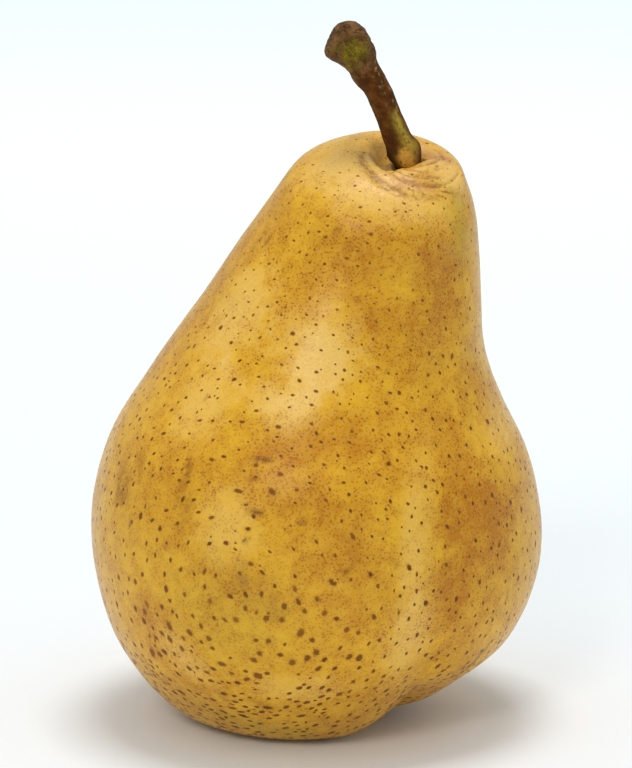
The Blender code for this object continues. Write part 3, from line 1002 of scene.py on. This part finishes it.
    def lenticels(self, tree: Tree, place: Feed) -> tuple[Feed, Feed, Feed, Feed]:
        """The lenticels, from the skin's attributes.

        Args:
            tree: the node tree.
            place: the socket with the coordinates.

        Returns:
            The sockets with the speck, the stain round it, its tone and how black it is.
        """
        offset = add_node(tree, "ShaderNodeAttribute", {"attribute_name": "lenticel"})
        look = self.channels(tree, "lenticel_look")
        ragged = add_node(
            tree,
            "ShaderNodeTexNoise",
            inputs={"Vector": place, "Scale": 1.0 / (0.42 * MM), "Detail": 2.0},
        )
        centred = add_node(
            tree,
            "ShaderNodeVectorMath",
            {"operation": "SUBTRACT"},
            {0: ragged.outputs["Color"], 1: (0.5, 0.5, 0.5)},
        )
        shaken = add_node(
            tree,
            "ShaderNodeVectorMath",
            {"operation": "MULTIPLY_ADD"},
            {0: centred.outputs[0], 1: (1.0, 1.0, 0.0), 2: offset.outputs["Vector"]},
        )
        reach = add_node(
            tree, "ShaderNodeVectorMath", {"operation": "LENGTH"}, {0: shaken.outputs[0]}
        )
        spot = add_node(
            tree,
            "ShaderNodeMapRange",
            {"interpolation_type": "SMOOTHSTEP"},
            {"Value": reach.outputs["Value"], "From Min": 1.22, "From Max": 0.62, "To Max": 0.98},
        )
        stain = add_node(
            tree,
            "ShaderNodeMapRange",
            {"interpolation_type": "SMOOTHSTEP"},
            {"Value": reach.outputs["Value"], "From Min": 1.75, "From Max": 0.8},
        )
        halo = add_node(
            tree, "ShaderNodeMath", {"operation": "MULTIPLY"}, {0: stain.outputs[0], 1: look[1]}
        )
        return spot.outputs[0], halo.outputs[0], look[2], look[0]


@dataclass(frozen=True)
class Lenticels:
    """The brown breathing pores of the skin, scattered by seeded draws. Lengths in millimetres."""

    seed: int = 7
    spacing: float = 2.35
    belly_spacing: float = 2.90
    neck_spacing: float = 2.20
    base_spacing: float = 1.80
    nearest: float = 0.63
    radius: float = 0.27
    belly_radius: float = 0.32
    low_belly_radius: float = 0.45
    neck_radius: float = 0.19
    base_radius: float = 0.40
    spread: float = 0.24
    bulge: tuple[float, float, float] = (-0.35, -0.93, -0.10)
    twins: float = 0.08

    def regions(self, points: np.ndarray, normals: np.ndarray) -> dict[str, np.ndarray]:
        """How far each point belongs to the belly, its lower part, the neck and the base."""
        height = points[:, 2] / MM
        facing = normals @ unit(np.array(self.bulge))
        base = 1.0 - smooth_step(6.0, 25.0, height)
        belly = smooth_step(0.66, 0.92, facing) * (1.0 - base)
        belly = belly * (1.0 - smooth_step(52.0, 64.0, height))
        return {
            "belly": belly,
            "low_belly": belly * (1.0 - smooth_step(24.0, 37.0, height)),
            "neck": smooth_step(56.0, 76.0, height),
            "base": base,
        }

    @staticmethod
    def blended(
        regions: dict[str, np.ndarray], plain: float, belly: float, neck: float, base: float
    ) -> np.ndarray:
        """A measure at each point, from its values in the regions."""
        value = plain + (belly - plain) * regions["belly"] + (neck - plain) * regions["neck"]
        return value + (base - plain) * regions["base"]

    def scatter(self, mesh: bpy.types.Mesh) -> dict[str, np.ndarray]:
        """Draws the places, sizes and looks of the lenticels.

        Args:
            mesh: the skin.

        Returns:
            For each lenticel its place, its two axes with its half lengths, and its looks.
        """
        draw = np.random.default_rng(self.seed)
        count = len(mesh.polygons)
        areas = np.empty(count)
        mesh.polygons.foreach_get("area", areas)
        corners = np.empty(len(mesh.loops), np.int64)
        mesh.loops.foreach_get("vertex_index", corners)
        starts = np.empty(count, np.int64)
        mesh.polygons.foreach_get("loop_start", starts)
        points = points_of(mesh)
        normals = normals_of(mesh)
        tries = int(areas.sum() / MM**2 / (0.62 * self.base_spacing**2))
        picked = draw.choice(count, size=tries, p=areas / areas.sum())
        shares = draw.dirichlet((1.0, 1.0, 1.0), tries)[..., None]
        three = corners[starts[picked][:, None] + np.arange(3)]
        places = (points[three] * shares).sum(axis=1)
        facing = unit((normals[three] * shares).sum(axis=1))
        regions = self.regions(places, facing)
        spacing = self.blended(
            regions, self.spacing, self.belly_spacing, self.neck_spacing, self.base_spacing
        )
        chance = draw.random(tries)
        kept: list[int] = []
        cells: dict[tuple[int, int, int], list[int]] = {}
        for index in range(tries):
            if chance[index] > (self.base_spacing / spacing[index]) ** 2:
                continue
            cell = tuple(int(value) for value in np.floor(places[index] / (2.0 * MM)))
            near = [
                other
                for x in (-1, 0, 1)
                for y in (-1, 0, 1)
                for z in (-1, 0, 1)
                for other in cells.get((cell[0] + x, cell[1] + y, cell[2] + z), ())
            ]
            gap = self.nearest * spacing[index] * MM
            if near and np.linalg.norm(places[near] - places[index], axis=1).min() < gap:
                continue
            kept.append(index)
            cells.setdefault(cell, []).append(index)
        return self.dressed(draw, places[kept], facing[kept])

    def dressed(
        self, draw: np.random.Generator, places: np.ndarray, facing: np.ndarray
    ) -> dict[str, np.ndarray]:
        """Gives each lenticel its axes, its size and its looks.

        Args:
            draw: the seeded draws.
            places: where the lenticels are.
            facing: which way the skin faces there.

        Returns:
            For each lenticel its place, its two axes with its half lengths, and its looks.
        """
        count = len(places)
        twin = np.flatnonzero(draw.random(count) < self.twins)
        round_belly = unit(np.cross(facing, unit(np.array(self.bulge))))
        back = np.cross(facing, round_belly)
        step = draw.uniform(0.75, 1.15, len(twin))[:, None] * MM
        turn = draw.uniform(0.0, 2.0 * math.pi, len(twin))[:, None]
        beside = round_belly[twin] * np.cos(turn) + back[twin] * np.sin(turn)
        places = np.vstack([places, places[twin] + beside * step])
        facing = np.vstack([facing, facing[twin]])
        regions = self.regions(places, facing)
        radius = self.blended(
            regions, self.radius, self.belly_radius, self.neck_radius, self.base_radius
        )
        radius = radius + (self.low_belly_radius - self.belly_radius) * regions["low_belly"]
        radius = radius * np.exp(self.spread * draw.standard_normal(len(places)))
        radius[count:] *= 0.6
        stretch = 1.40 + 0.25 * regions["base"] + 0.25 * regions["belly"]
        stretch = stretch - 0.35 * regions["low_belly"]
        stretch = stretch * np.exp(0.14 * draw.standard_normal(len(places)))
        lean = draw.normal(0.0, 0.30, len(places))[:, None]
        level = unit(np.cross(np.array((0.0, 0.0, 1.0)), facing))
        along = unit(np.cross(facing, unit(np.array(self.bulge))))
        along = along * np.sign((along * level).sum(axis=1) + 1e-9)[:, None]
        along = unit(along + level * (0.6 * regions["neck"])[:, None])
        other = np.cross(facing, along)
        leaning = along * np.cos(lean) + other * np.sin(lean)
        other = other * np.cos(lean) - along * np.sin(lean)
        along = leaning
        halo = 0.08 + 0.12 * regions["belly"] + 0.12 * regions["low_belly"]
        halo = halo + 0.15 * draw.random(len(places))
        tone = 0.15 + 0.15 * regions["belly"] + 0.20 * regions["low_belly"]
        tone = tone + 0.35 * regions["neck"]
        tone = np.clip(tone + 0.18 * draw.standard_normal(len(places)), 0.0, 1.0)
        return {
            "place": places,
            "along": along / (radius * np.sqrt(stretch) * MM)[:, None],
            "other": other / (radius / np.sqrt(stretch) * MM)[:, None],
            "look": np.stack([np.zeros(len(places)), halo, tone], axis=1),
        }

    def dress(self, mesh: bpy.types.Mesh) -> int:
        """Writes each face corner's offset from the nearest lenticel, and that one's looks.

        Args:
            mesh: the skin.

        Returns:
            The number of lenticels.
        """
        found = self.scatter(mesh)
        tree = KDTree(len(found["place"]))
        for index, place in enumerate(found["place"]):
            tree.insert(place, index)
        tree.balance()
        centres = np.empty(3 * len(mesh.polygons))
        mesh.polygons.foreach_get("center", centres)
        nearest = np.array([tree.find(centre)[1] for centre in centres.reshape(-1, 3)])
        totals = np.empty(len(mesh.polygons), np.int64)
        mesh.polygons.foreach_get("loop_total", totals)
        owner = np.repeat(nearest, totals)
        corners = np.empty(len(mesh.loops), np.int64)
        mesh.loops.foreach_get("vertex_index", corners)
        off = points_of(mesh)[corners] - found["place"][owner]
        offsets = np.stack(
            [
                (off * found["along"][owner]).sum(axis=1),
                (off * found["other"][owner]).sum(axis=1),
                np.zeros(len(owner)),
            ],
            axis=1,
        )
        store(mesh, "lenticel", "CORNER", offsets)
        store(mesh, "lenticel_look", "CORNER", found["look"][owner])
        return len(found["place"])


@dataclass(frozen=True)
class SkinShape:
    """The skin's mesh, with where each vertex was before it was bent, and its fold depth."""

    mesh: bpy.types.Mesh
    angle: np.ndarray
    radius: np.ndarray
    distance: np.ndarray
    folds: np.ndarray


@dataclass(frozen=True)
class PearSkin:
    """The fruit's skin, which stands for the fruit's solid."""

    form: FruitForm = FruitForm()
    finish: SkinFinish = SkinFinish()
    lenticels: Lenticels = Lenticels()
    sides: int = 360
    ring_gap: float = 0.00084
    cavity_ring_gap: float = 0.00023
    cavity_radius: float = 0.0130
    lip_height: float = 2.0
    lip_angle: float = -40.0
    lip_spread: float = 70.0
    lip_reach: tuple[float, float] = (3.4, 8.5)
    calyx_hole_depth: float = 0.0029
    stem_hole: float = 0.0029
    stem_hole_depth: float = 0.0048
    # Where the crease's sides get painted light and painted shade, along the core line and in
    # degrees beside the crease.
    crease_starts: tuple[float, float] = (0.010, 0.024)
    crease_ends: tuple[float, float] = (0.046, 0.064)
    painted_light_from: tuple[float, float] = (-14.0, -8.0)
    painted_light_to: tuple[float, float] = (-4.0, 0.5)
    painted_shade_from: tuple[float, float] = (0.0, 3.0)
    painted_shade_to: tuple[float, float] = (6.0, 22.0)
    # The radii over which the russet round the stem and the calyx and the crown's pallor fade.
    stem_fades: tuple[float, float] = (0.003, 0.0085)
    calyx_fades: tuple[float, float] = (0.003, 0.0075)
    crown_fades: tuple[float, float] = (0.009, 0.016)

    def outline(self) -> np.ndarray:
        """The skin's outline as distances and radii, with closer rings in the stem cavity."""
        fine = smooth_curve(OUTLINE, 60) * (self.form.length, self.form.width / 2.0)
        gaps = np.linalg.norm(np.diff(fine, axis=0), axis=1)
        middle = 0.5 * (fine[1:] + fine[:-1])
        cavity = (middle[:, 1] < self.cavity_radius) & (middle[:, 0] > self.form.length / 2.0)
        steps = gaps / np.where(cavity, self.cavity_ring_gap, self.ring_gap)
        along = np.concatenate([[0.0], np.cumsum(steps)])
        rings = np.linspace(0.0, along[-1], int(along[-1]) + 1)
        return np.stack([np.interp(rings, along, column) for column in fine.T], axis=1)

    def fold_depth(self, angle: np.ndarray, radius: np.ndarray) -> np.ndarray:
        """How deep the folds round the stem are, in millimetres.

        Args:
            angle: degrees round the cavity.
            radius: millimetres from its middle.

        Returns:
            The depth at each point.
        """
        return sum(self.one_fold(fold, angle, radius) for fold in FOLDS)

    @staticmethod
    def one_fold(fold: Fold, angle: np.ndarray, radius: np.ndarray) -> np.ndarray:
        """How deep one fold is at these angles in degrees and radii in millimetres."""
        share = ((angle - fold.start) % 360.0) / (fold.end - fold.start)
        ends = between((0.0, 0.25), (0.75, 1.0), share)
        wobble = 0.16 * np.sin(np.radians(4.0 * angle) + 3.0 * fold.radius)
        off = (radius - fold.radius - fold.drift * share - wobble) / fold.width
        return fold.depth * ends * np.exp(-off * off)

    def lip(self, angle: np.ndarray, radius: np.ndarray) -> np.ndarray:
        """How far the skin swells up round the front of the stem's foot, in millimetres."""
        off = (angle - self.lip_angle + 180.0) % 360.0 - 180.0
        near = 1.0 - smooth_step(*self.lip_reach, radius)
        return self.lip_height * np.exp(-((off / self.lip_spread) ** 2)) * near

    def build_shape(self) -> SkinShape:
        """Turns, bends and wrinkles the skin."""
        rings = self.outline()
        low = rings[0, 0]
        high = rings[-1, 0]
        floor = low + self.calyx_hole_depth
        bottom = [(floor, 0.0), (floor, self.form.calyx_hole)]
        top = [(high - self.stem_hole_depth, self.stem_hole), (high - self.stem_hole_depth, 0.0)]
        shape = turned(bottom + [tuple(ring) for ring in rings] + top, self.sides)
        mesh = mesh_from(shape, "pear_skin")
        angle, radius, distance = round_places(mesh)
        upper = distance > self.form.length / 2.0
        in_stem_hole = upper & (radius < self.stem_hole + 1e-5)
        in_calyx_hole = ~upper & (radius < self.form.calyx_hole + 1e-5)
        hole_wall = in_stem_hole | in_calyx_hole
        placed = self.form.place(angle, radius, distance)
        root = self.form.stem_root(angle, radius, high - distance)
        move_points(mesh, np.where(in_stem_hole[:, None], root, placed))
        points = points_of(mesh)
        cavity = upper & ~hole_wall
        degrees = np.degrees(angle)
        folds = np.where(cavity, self.fold_depth(degrees, radius / MM), 0.0)
        raised = self.lip(degrees, radius / MM) - self.one_fold(HOLLOW, degrees, radius / MM)
        swell = 0.22 * noise_of(points, 0.017, 3.0) + 0.07 * noise_of(points, 0.006, 8.0)
        swell = swell * smooth_step(0.003, 0.009, radius)
        moved = points + normals_of(mesh) * ((swell - folds) * MM)[:, None]
        moved[:, 2] += np.where(cavity, raised, 0.0) * MM
        moved[:, 2] = np.maximum(moved[:, 2], 0.0)
        move_points(mesh, np.where(hole_wall[:, None], points, moved))
        return SkinShape(mesh, angle, radius, distance, folds)

    def paint(self, shape: SkinShape, studio: Studio) -> None:
        """Keeps the patches and marks of the skin as attributes, with the painted highlights,
        painted light and painted shade among them.

        Args:
            shape: the skin's shape.
            studio: the studio, whose camera places the marks.
        """
        mesh = shape.mesh
        points = points_of(mesh)
        layers = {kind.value[0]: np.zeros((len(points), 3)) for kind in MarkKind}
        corners = [tuple(face.vertices) for face in mesh.polygons]
        skin = BVHTree.FromPolygons([Vector(point) for point in points], corners)
        ragged = noise_of(points, 0.0022, 5.0) + 0.5 * noise_of(points, 0.0009, 2.0)
        for mark in MARKS:
            centre, facing, _, _ = skin.ray_cast(studio.eye(), studio.ray(mark.across, mark.down))
            if centre is None:
                LOG.warning("no skin under the mark at %s, %s", mark.across, mark.down)
                continue
            right = (Vector((1.0, 0.0, 0.0)) - facing * facing.x).normalized()
            up = facing.cross(right)
            turn = math.radians(mark.tilt)
            long_axis = np.array(right * math.cos(turn) + up * math.sin(turn))
            short_axis = np.array(up * math.cos(turn) - right * math.sin(turn))
            off = points - np.array(centre)
            across_mark = off @ long_axis / (mark.width * MM)
            down_mark = off @ short_axis / (mark.height * MM)
            deep = off @ np.array(facing) / (max(mark.width, mark.height) * MM)
            reach = np.sqrt(across_mark**2 + down_mark**2 + deep**2) + mark.ragged * ragged
            name, channel = mark.kind.value
            layer = layers[name][:, channel]
            layer += mark.strength * (1.0 - smooth_step(0.25, 1.25, reach))
        radius, distance = shape.radius, shape.distance
        middle = self.form.crease_angle(distance)
        off_crease = (np.degrees(shape.angle) - middle + 180.0) % 360.0 - 180.0
        reach = between(self.crease_starts, self.crease_ends, distance)
        painted_light_side = between(self.painted_light_from, self.painted_light_to, off_crease)
        painted_shade_side = between(self.painted_shade_from, self.painted_shade_to, off_crease)
        # Painted light beside the crease on its left, and painted shade on its right.
        layers["ripeness_and_painted_light"][:, 1] += 0.20 * painted_light_side * reach
        layers["ripeness_and_painted_light"][:, 0] += 0.20 * painted_shade_side * reach
        cavity = distance > self.form.length / 2.0
        near_stem = np.where(cavity, 1.0 - smooth_step(*self.stem_fades, radius), 0.0)
        near_calyx = np.where(cavity, 0.0, 1.0 - smooth_step(*self.calyx_fades, radius))
        # The folds are darker by their depth, in the streak colour.
        layers["lines"][:, 0] += np.clip((shape.folds - 0.09) * 5.0, 0.0, 0.8)
        crown = np.where(cavity, 1.0 - smooth_step(*self.crown_fades, radius), 0.0)
        layers["ripeness_and_painted_light"][:, 1] += 0.40 * crown
        layers["lines"][:, 1] += 0.35 * near_stem + 0.20 * crown
        layers["rubs_and_shade"][:, 0] += 0.30 * near_stem + 0.9 * near_calyx
        for name, layer in layers.items():
            store(mesh, name, "POINT", np.clip(layer, 0.0, 1.0))

    def build(self, studio: Studio) -> bpy.types.Object:
        """Builds the skin and puts it in the fruit's place.

        Args:
            studio: the studio, whose camera places the marks.

        Returns:
            The skin's object.
        """
        shape = self.build_shape()
        self.paint(shape, studio)
        count = self.lenticels.dress(shape.mesh)
        shape.mesh.materials.append(self.finish.material())
        skin = bpy.data.objects.new("pear_skin", shape.mesh)
        bpy.context.scene.collection.objects.link(skin)
        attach(skin, "root")
        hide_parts("fruit")
        LOG.info("pear_skin: %d faces, %d lenticels", len(shape.mesh.polygons), count)
        return skin


@dataclass(frozen=True)
class BarkFinish:
    """Dry stem bark: dark and matt, grey and cracked at the knob, with moss and a live streak."""

    dark: str = "#4a2704"
    brown: str = "#65390a"
    grey: str = "#866440"
    crack_and_shade: str = "#2c1a09"
    moss: str = "#7e7612"
    live: str = "#b59a36"
    foot: str = "#c69238"
    fleck_and_highlight: str = "#b8935c"
    roughness: float = 0.60
    specular: float = 0.10
    bump: float = 0.22

    def material(self) -> bpy.types.Material:
        """Builds the bark's material, which reads Object coordinates and the stem's attributes."""
        # To the eye it is dead, dull wood at the knob that is still green and alive at the foot.
        material = bpy.data.materials.new("dry_stem_bark")
        material.use_nodes = True
        tree = material.node_tree
        shader = tree.nodes["Principled BSDF"]
        place = add_node(tree, "ShaderNodeTexCoord").outputs["Object"]
        growth = SkinFinish.channels(tree, "growth")
        zones = SkinFinish.channels(tree, "zones")
        lumps = SkinFinish.lumps(tree, place, 1.6, 4.0, 0.36, 0.66)
        fine = SkinFinish.lumps(tree, place, 0.35, 3.0, 0.35, 0.65)
        # Ridged noise has thin dark valleys, which run and fork as cracks in dry bark do.
        ridged = add_node(
            tree,
            "ShaderNodeTexNoise",
            {"noise_type": "FBM"},
            {"Vector": place, "Scale": 1.0 / (1.5 * MM), "Detail": 3.0, "Distortion": 0.8},
        )
        centred = add_node(
            tree,
            "ShaderNodeMath",
            {"operation": "SUBTRACT"},
            {0: ridged.outputs["Fac"], 1: 0.5},
        )
        valley = add_node(
            tree, "ShaderNodeMath", {"operation": "ABSOLUTE"}, {0: centred.outputs[0]}
        )
        cracks = add_node(
            tree,
            "ShaderNodeMapRange",
            {"interpolation_type": "SMOOTHSTEP"},
            {"Value": valley.outputs[0], "From Min": 0.035, "From Max": 0.0},
        )
        cracked = add_node(
            tree, "ShaderNodeMath", {"operation": "MULTIPLY"}, {0: cracks.outputs[0], 1: zones[0]}
        ).outputs[0]
        mossy, flecked_and_highlight = [
            add_node(tree, "ShaderNodeMath", {"operation": "MULTIPLY"}, {0: amount, 1: fine})
            for amount in (growth[0], zones[1])
        ]
        colour = layered(
            tree,
            linear(self.dark),
            [
                (lumps, linear(self.brown)),
                (weighed(tree, [(zones[0], 0.55), (lumps, 0.35)], -0.28), linear(self.grey)),
                (weighed(tree, [(cracked, 0.8)]), linear(self.crack_and_shade)),
                (weighed(tree, [(growth[0], 0.22), (mossy.outputs[0], 0.7)]), linear(self.moss)),
                (weighed(tree, [(growth[1], 0.80)]), linear(self.live)),
                # Painted shade on the left front of the foot, in the crack colour.
                (weighed(tree, [(zones[2], 0.90)]), linear(self.crack_and_shade)),
                (weighed(tree, [(growth[2], 0.95)]), linear(self.foot)),
                # Pale flecks, partly painted highlight on the lit side.
                (weighed(tree, [(flecked_and_highlight.outputs[0], 0.9)]), linear(self.fleck_and_highlight)),
            ],
        )
        tree.links.new(colour, shader.inputs["Base Color"])
        shader.inputs["Roughness"].default_value = self.roughness
        shader.inputs["Specular IOR Level"].default_value = self.specular
        height = weighed(tree, [(lumps, 0.5), (fine, 0.5), (cracked, -0.5)], 0.3)
        bump = add_node(
            tree,
            "ShaderNodeBump",
            inputs={"Strength": 0.9, "Distance": self.bump * MM, "Height": height},
        )
        tree.links.new(bump.outputs[0], shader.inputs["Normal"])
        return material


@dataclass(frozen=True)
class Swelling:
    """A one-sided lump or dip on the stem, in degrees round it and millimetres along it."""

    height: float
    angle: float
    angle_reach: float
    along: float
    along_reach: float

    def height_at(self, angle: np.ndarray, along: np.ndarray) -> np.ndarray:
        """How far the bark stands out here, in millimetres."""
        off = ((angle - self.angle + 180.0) % 360.0 - 180.0) / self.angle_reach
        return self.height * np.exp(-(off**2) - ((along - self.along) / self.along_reach) ** 2)


# The knob bulges at its lower left with a notch under it, and the foot has a knuckle on its right.
SWELLINGS = (
    Swelling(1.15, 178.0, 50.0, 22.3, 1.2),
    Swelling(-0.80, 178.0, 60.0, 19.1, 1.5),
    Swelling(0.40, -15.0, 32.0, 3.0, 0.8),
    Swelling(-0.55, 0.0, 50.0, 1.0, 1.2),
    Swelling(0.25, -85.0, 26.0, 2.4, 0.9),
)


@dataclass(frozen=True)
class PearStem:
    """The woody stem, which stands for the stem's solid."""

    form: FruitForm = FruitForm()
    finish: BarkFinish = BarkFinish()
    radius: float = 0.00215
    root_radius: float = 0.0026
    root_length: float = 0.0045
    sides: int = 112
    turns_over: float = 0.0040
    reach: float = 0.0015
    knob_starts: float = 0.0165
    knob_full: float = 0.0205

    def build(self) -> bpy.types.Object:
        """Builds the stem and puts it in the solid's place.

        Returns:
            The stem's object.
        """
        points = smooth_curve(STEM_OUTLINE, 12) * (1.0, self.radius)
        outline = [(-self.root_length, 0.0), (-self.root_length, self.root_radius)]
        outline += [tuple(point) for point in points] + [(points[-1, 0], 0.0)]
        mesh = mesh_from(turned(outline, self.sides), "pear_stem")
        angle, radius, distance = round_places(mesh)
        line = self.form.stem_line()
        turn = smooth_step(0.0, self.turns_over, distance)[:, None]
        ahead = self.form.stem_mouth() * (1.0 - turn) + line.ahead(distance, self.reach) * turn
        ahead = unit(ahead)
        middle = line.at(distance)
        places = middle + across(ahead, angle, radius)
        knob = smooth_step(self.knob_starts, self.knob_full, distance)
        shaft = smooth_step(0.0, 0.002, distance)
        ridges = np.sin(5.0 * angle + 260.0 * distance)
        ridges = ridges + 0.6 * np.sin(9.0 * angle - 400.0 * distance)
        bump = 0.05 * ridges * shaft * (1.0 - knob)
        bump += (0.10 + 0.28 * knob) * shaft * noise_of(places, 0.0022)
        bump += (0.03 + 0.13 * knob) * shaft * noise_of(places, 0.0008, 4.0)
        bump += 0.05 * knob * noise_of(places, 0.00035, 9.0)
        for swelling in SWELLINGS:
            bump += swelling.height_at(np.degrees(angle), distance / MM)
        places = places + unit(places - middle) * (bump * MM)[:, None]
        move_points(mesh, places)
        self.paint(mesh, np.degrees(angle), distance / MM)
        mesh.materials.append(self.finish.material())
        stem = bpy.data.objects.new("pear_stem", mesh)
        bpy.context.scene.collection.objects.link(stem)
        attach(stem, "root")
        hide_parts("stem")
        LOG.info("pear_stem: %d faces", len(mesh.polygons))
        return stem

    @staticmethod
    def paint(mesh: bpy.types.Mesh, angle: np.ndarray, along: np.ndarray) -> None:
        """Keeps where the stem is mossy, alive, swollen and cracked as attributes, with pale specks
        that are partly painted highlight on its lit right front, and painted shade on the left
        front of its foot.

        Args:
            mesh: the stem.
            angle: degrees round the stem, -90 at the front.
            along: millimetres from the mouth of its hole.
        """
        points = points_of(mesh)
        ragged = noise_of(points, 0.0011, 3.0)
        moss = np.exp(-(((angle + 92.0) / 42.0) ** 2) - ((along - 21.4) / 1.8) ** 2)
        moss = np.clip(1.3 * moss + 1.1 * ragged * (moss > 0.12), 0.0, 1.0)
        side = np.exp(-(((angle + 46.0 + 1.0 * along + 9.0 * ragged) / 24.0) ** 2))
        live = side * smooth_step(1.5, 4.0, along) * (1.0 - smooth_step(8.5, 10.5, along + ragged))
        foot = 1.0 - smooth_step(2.6, 4.6, along + 0.8 * ragged)
        foot *= np.exp(-(((angle + 84.0) / 24.0) ** 2))
        worn = 1.0 - 0.6 * smooth_step(0.05, 0.40, noise_of(points, 0.0006, 5.0))
        live, foot = live * worn, foot * worn
        # Painted shade on the left front of the foot.
        painted_foot_shade = np.exp(-(((angle + 152.0) / 42.0) ** 2)) * (1.0 - smooth_step(2.5, 6.0, along))
        cracked = smooth_step(16.0, 19.5, along + ragged) * (1.0 - 0.75 * moss)
        # Pale flecks kept to the lit right front of the shaft: bark flecks and painted highlight.
        flecks_and_highlight = smooth_step(0.22, 0.45, noise_of(points, 0.0006, 12.0))
        flecks_and_highlight = flecks_and_highlight * smooth_step(8.0, 11.0, along) * (1.0 - smooth_step(17.5, 19.5, along))
        flecks_and_highlight = flecks_and_highlight * np.exp(-(((angle + 38.0) / 34.0) ** 2))
        growth = [moss, live, np.clip(1.4 * foot, 0.0, 1.0)]
        store(mesh, "growth", "POINT", np.stack(growth, axis=1))
        store(mesh, "zones", "POINT", np.stack([cracked, flecks_and_highlight, painted_foot_shade], axis=1))


@dataclass(frozen=True)
class CalyxFinish:
    """Dried sepals: brown and brittle, with grey dust on the ridges."""

    brown: str = "#4a3626"
    grey: str = "#7d6a55"
    roughness: float = 0.85

    def dress(self, calyx: bpy.types.Object) -> None:
        """Gives the calyx's own solid its material."""
        # To the eye it is brittle and lightless, with dust on what stands out.
        material = bpy.data.materials.new("dried_calyx_sepals")
        material.use_nodes = True
        tree = material.node_tree
        shader = tree.nodes["Principled BSDF"]
        place = add_node(tree, "ShaderNodeTexCoord").outputs["Object"]
        lumps = SkinFinish.lumps(tree, place, 0.7, 4.0, 0.35, 0.65)
        colour = layered(tree, linear(self.brown), [(lumps, linear(self.grey))])
        tree.links.new(colour, shader.inputs["Base Color"])
        shader.inputs["Roughness"].default_value = self.roughness
        bump = add_node(
            tree,
            "ShaderNodeBump",
            inputs={"Strength": 0.8, "Distance": 0.08 * MM, "Height": lumps},
        )
        tree.links.new(bump.outputs[0], shader.inputs["Normal"])
        for slot in calyx.material_slots:
            slot.material = material
        LOG.info("calyx: its own solid, with a dried finish")


def main() -> None:
    """Builds the studio, the skin, the stem and the calyx's finish."""
    logging.basicConfig(level=logging.INFO)
    studio = Studio()
    studio.build()
    PearSkin().build(studio)
    PearStem().build()
    CalyxFinish().dress(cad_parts["calyx"])


if __name__ == "__main__":
    main()
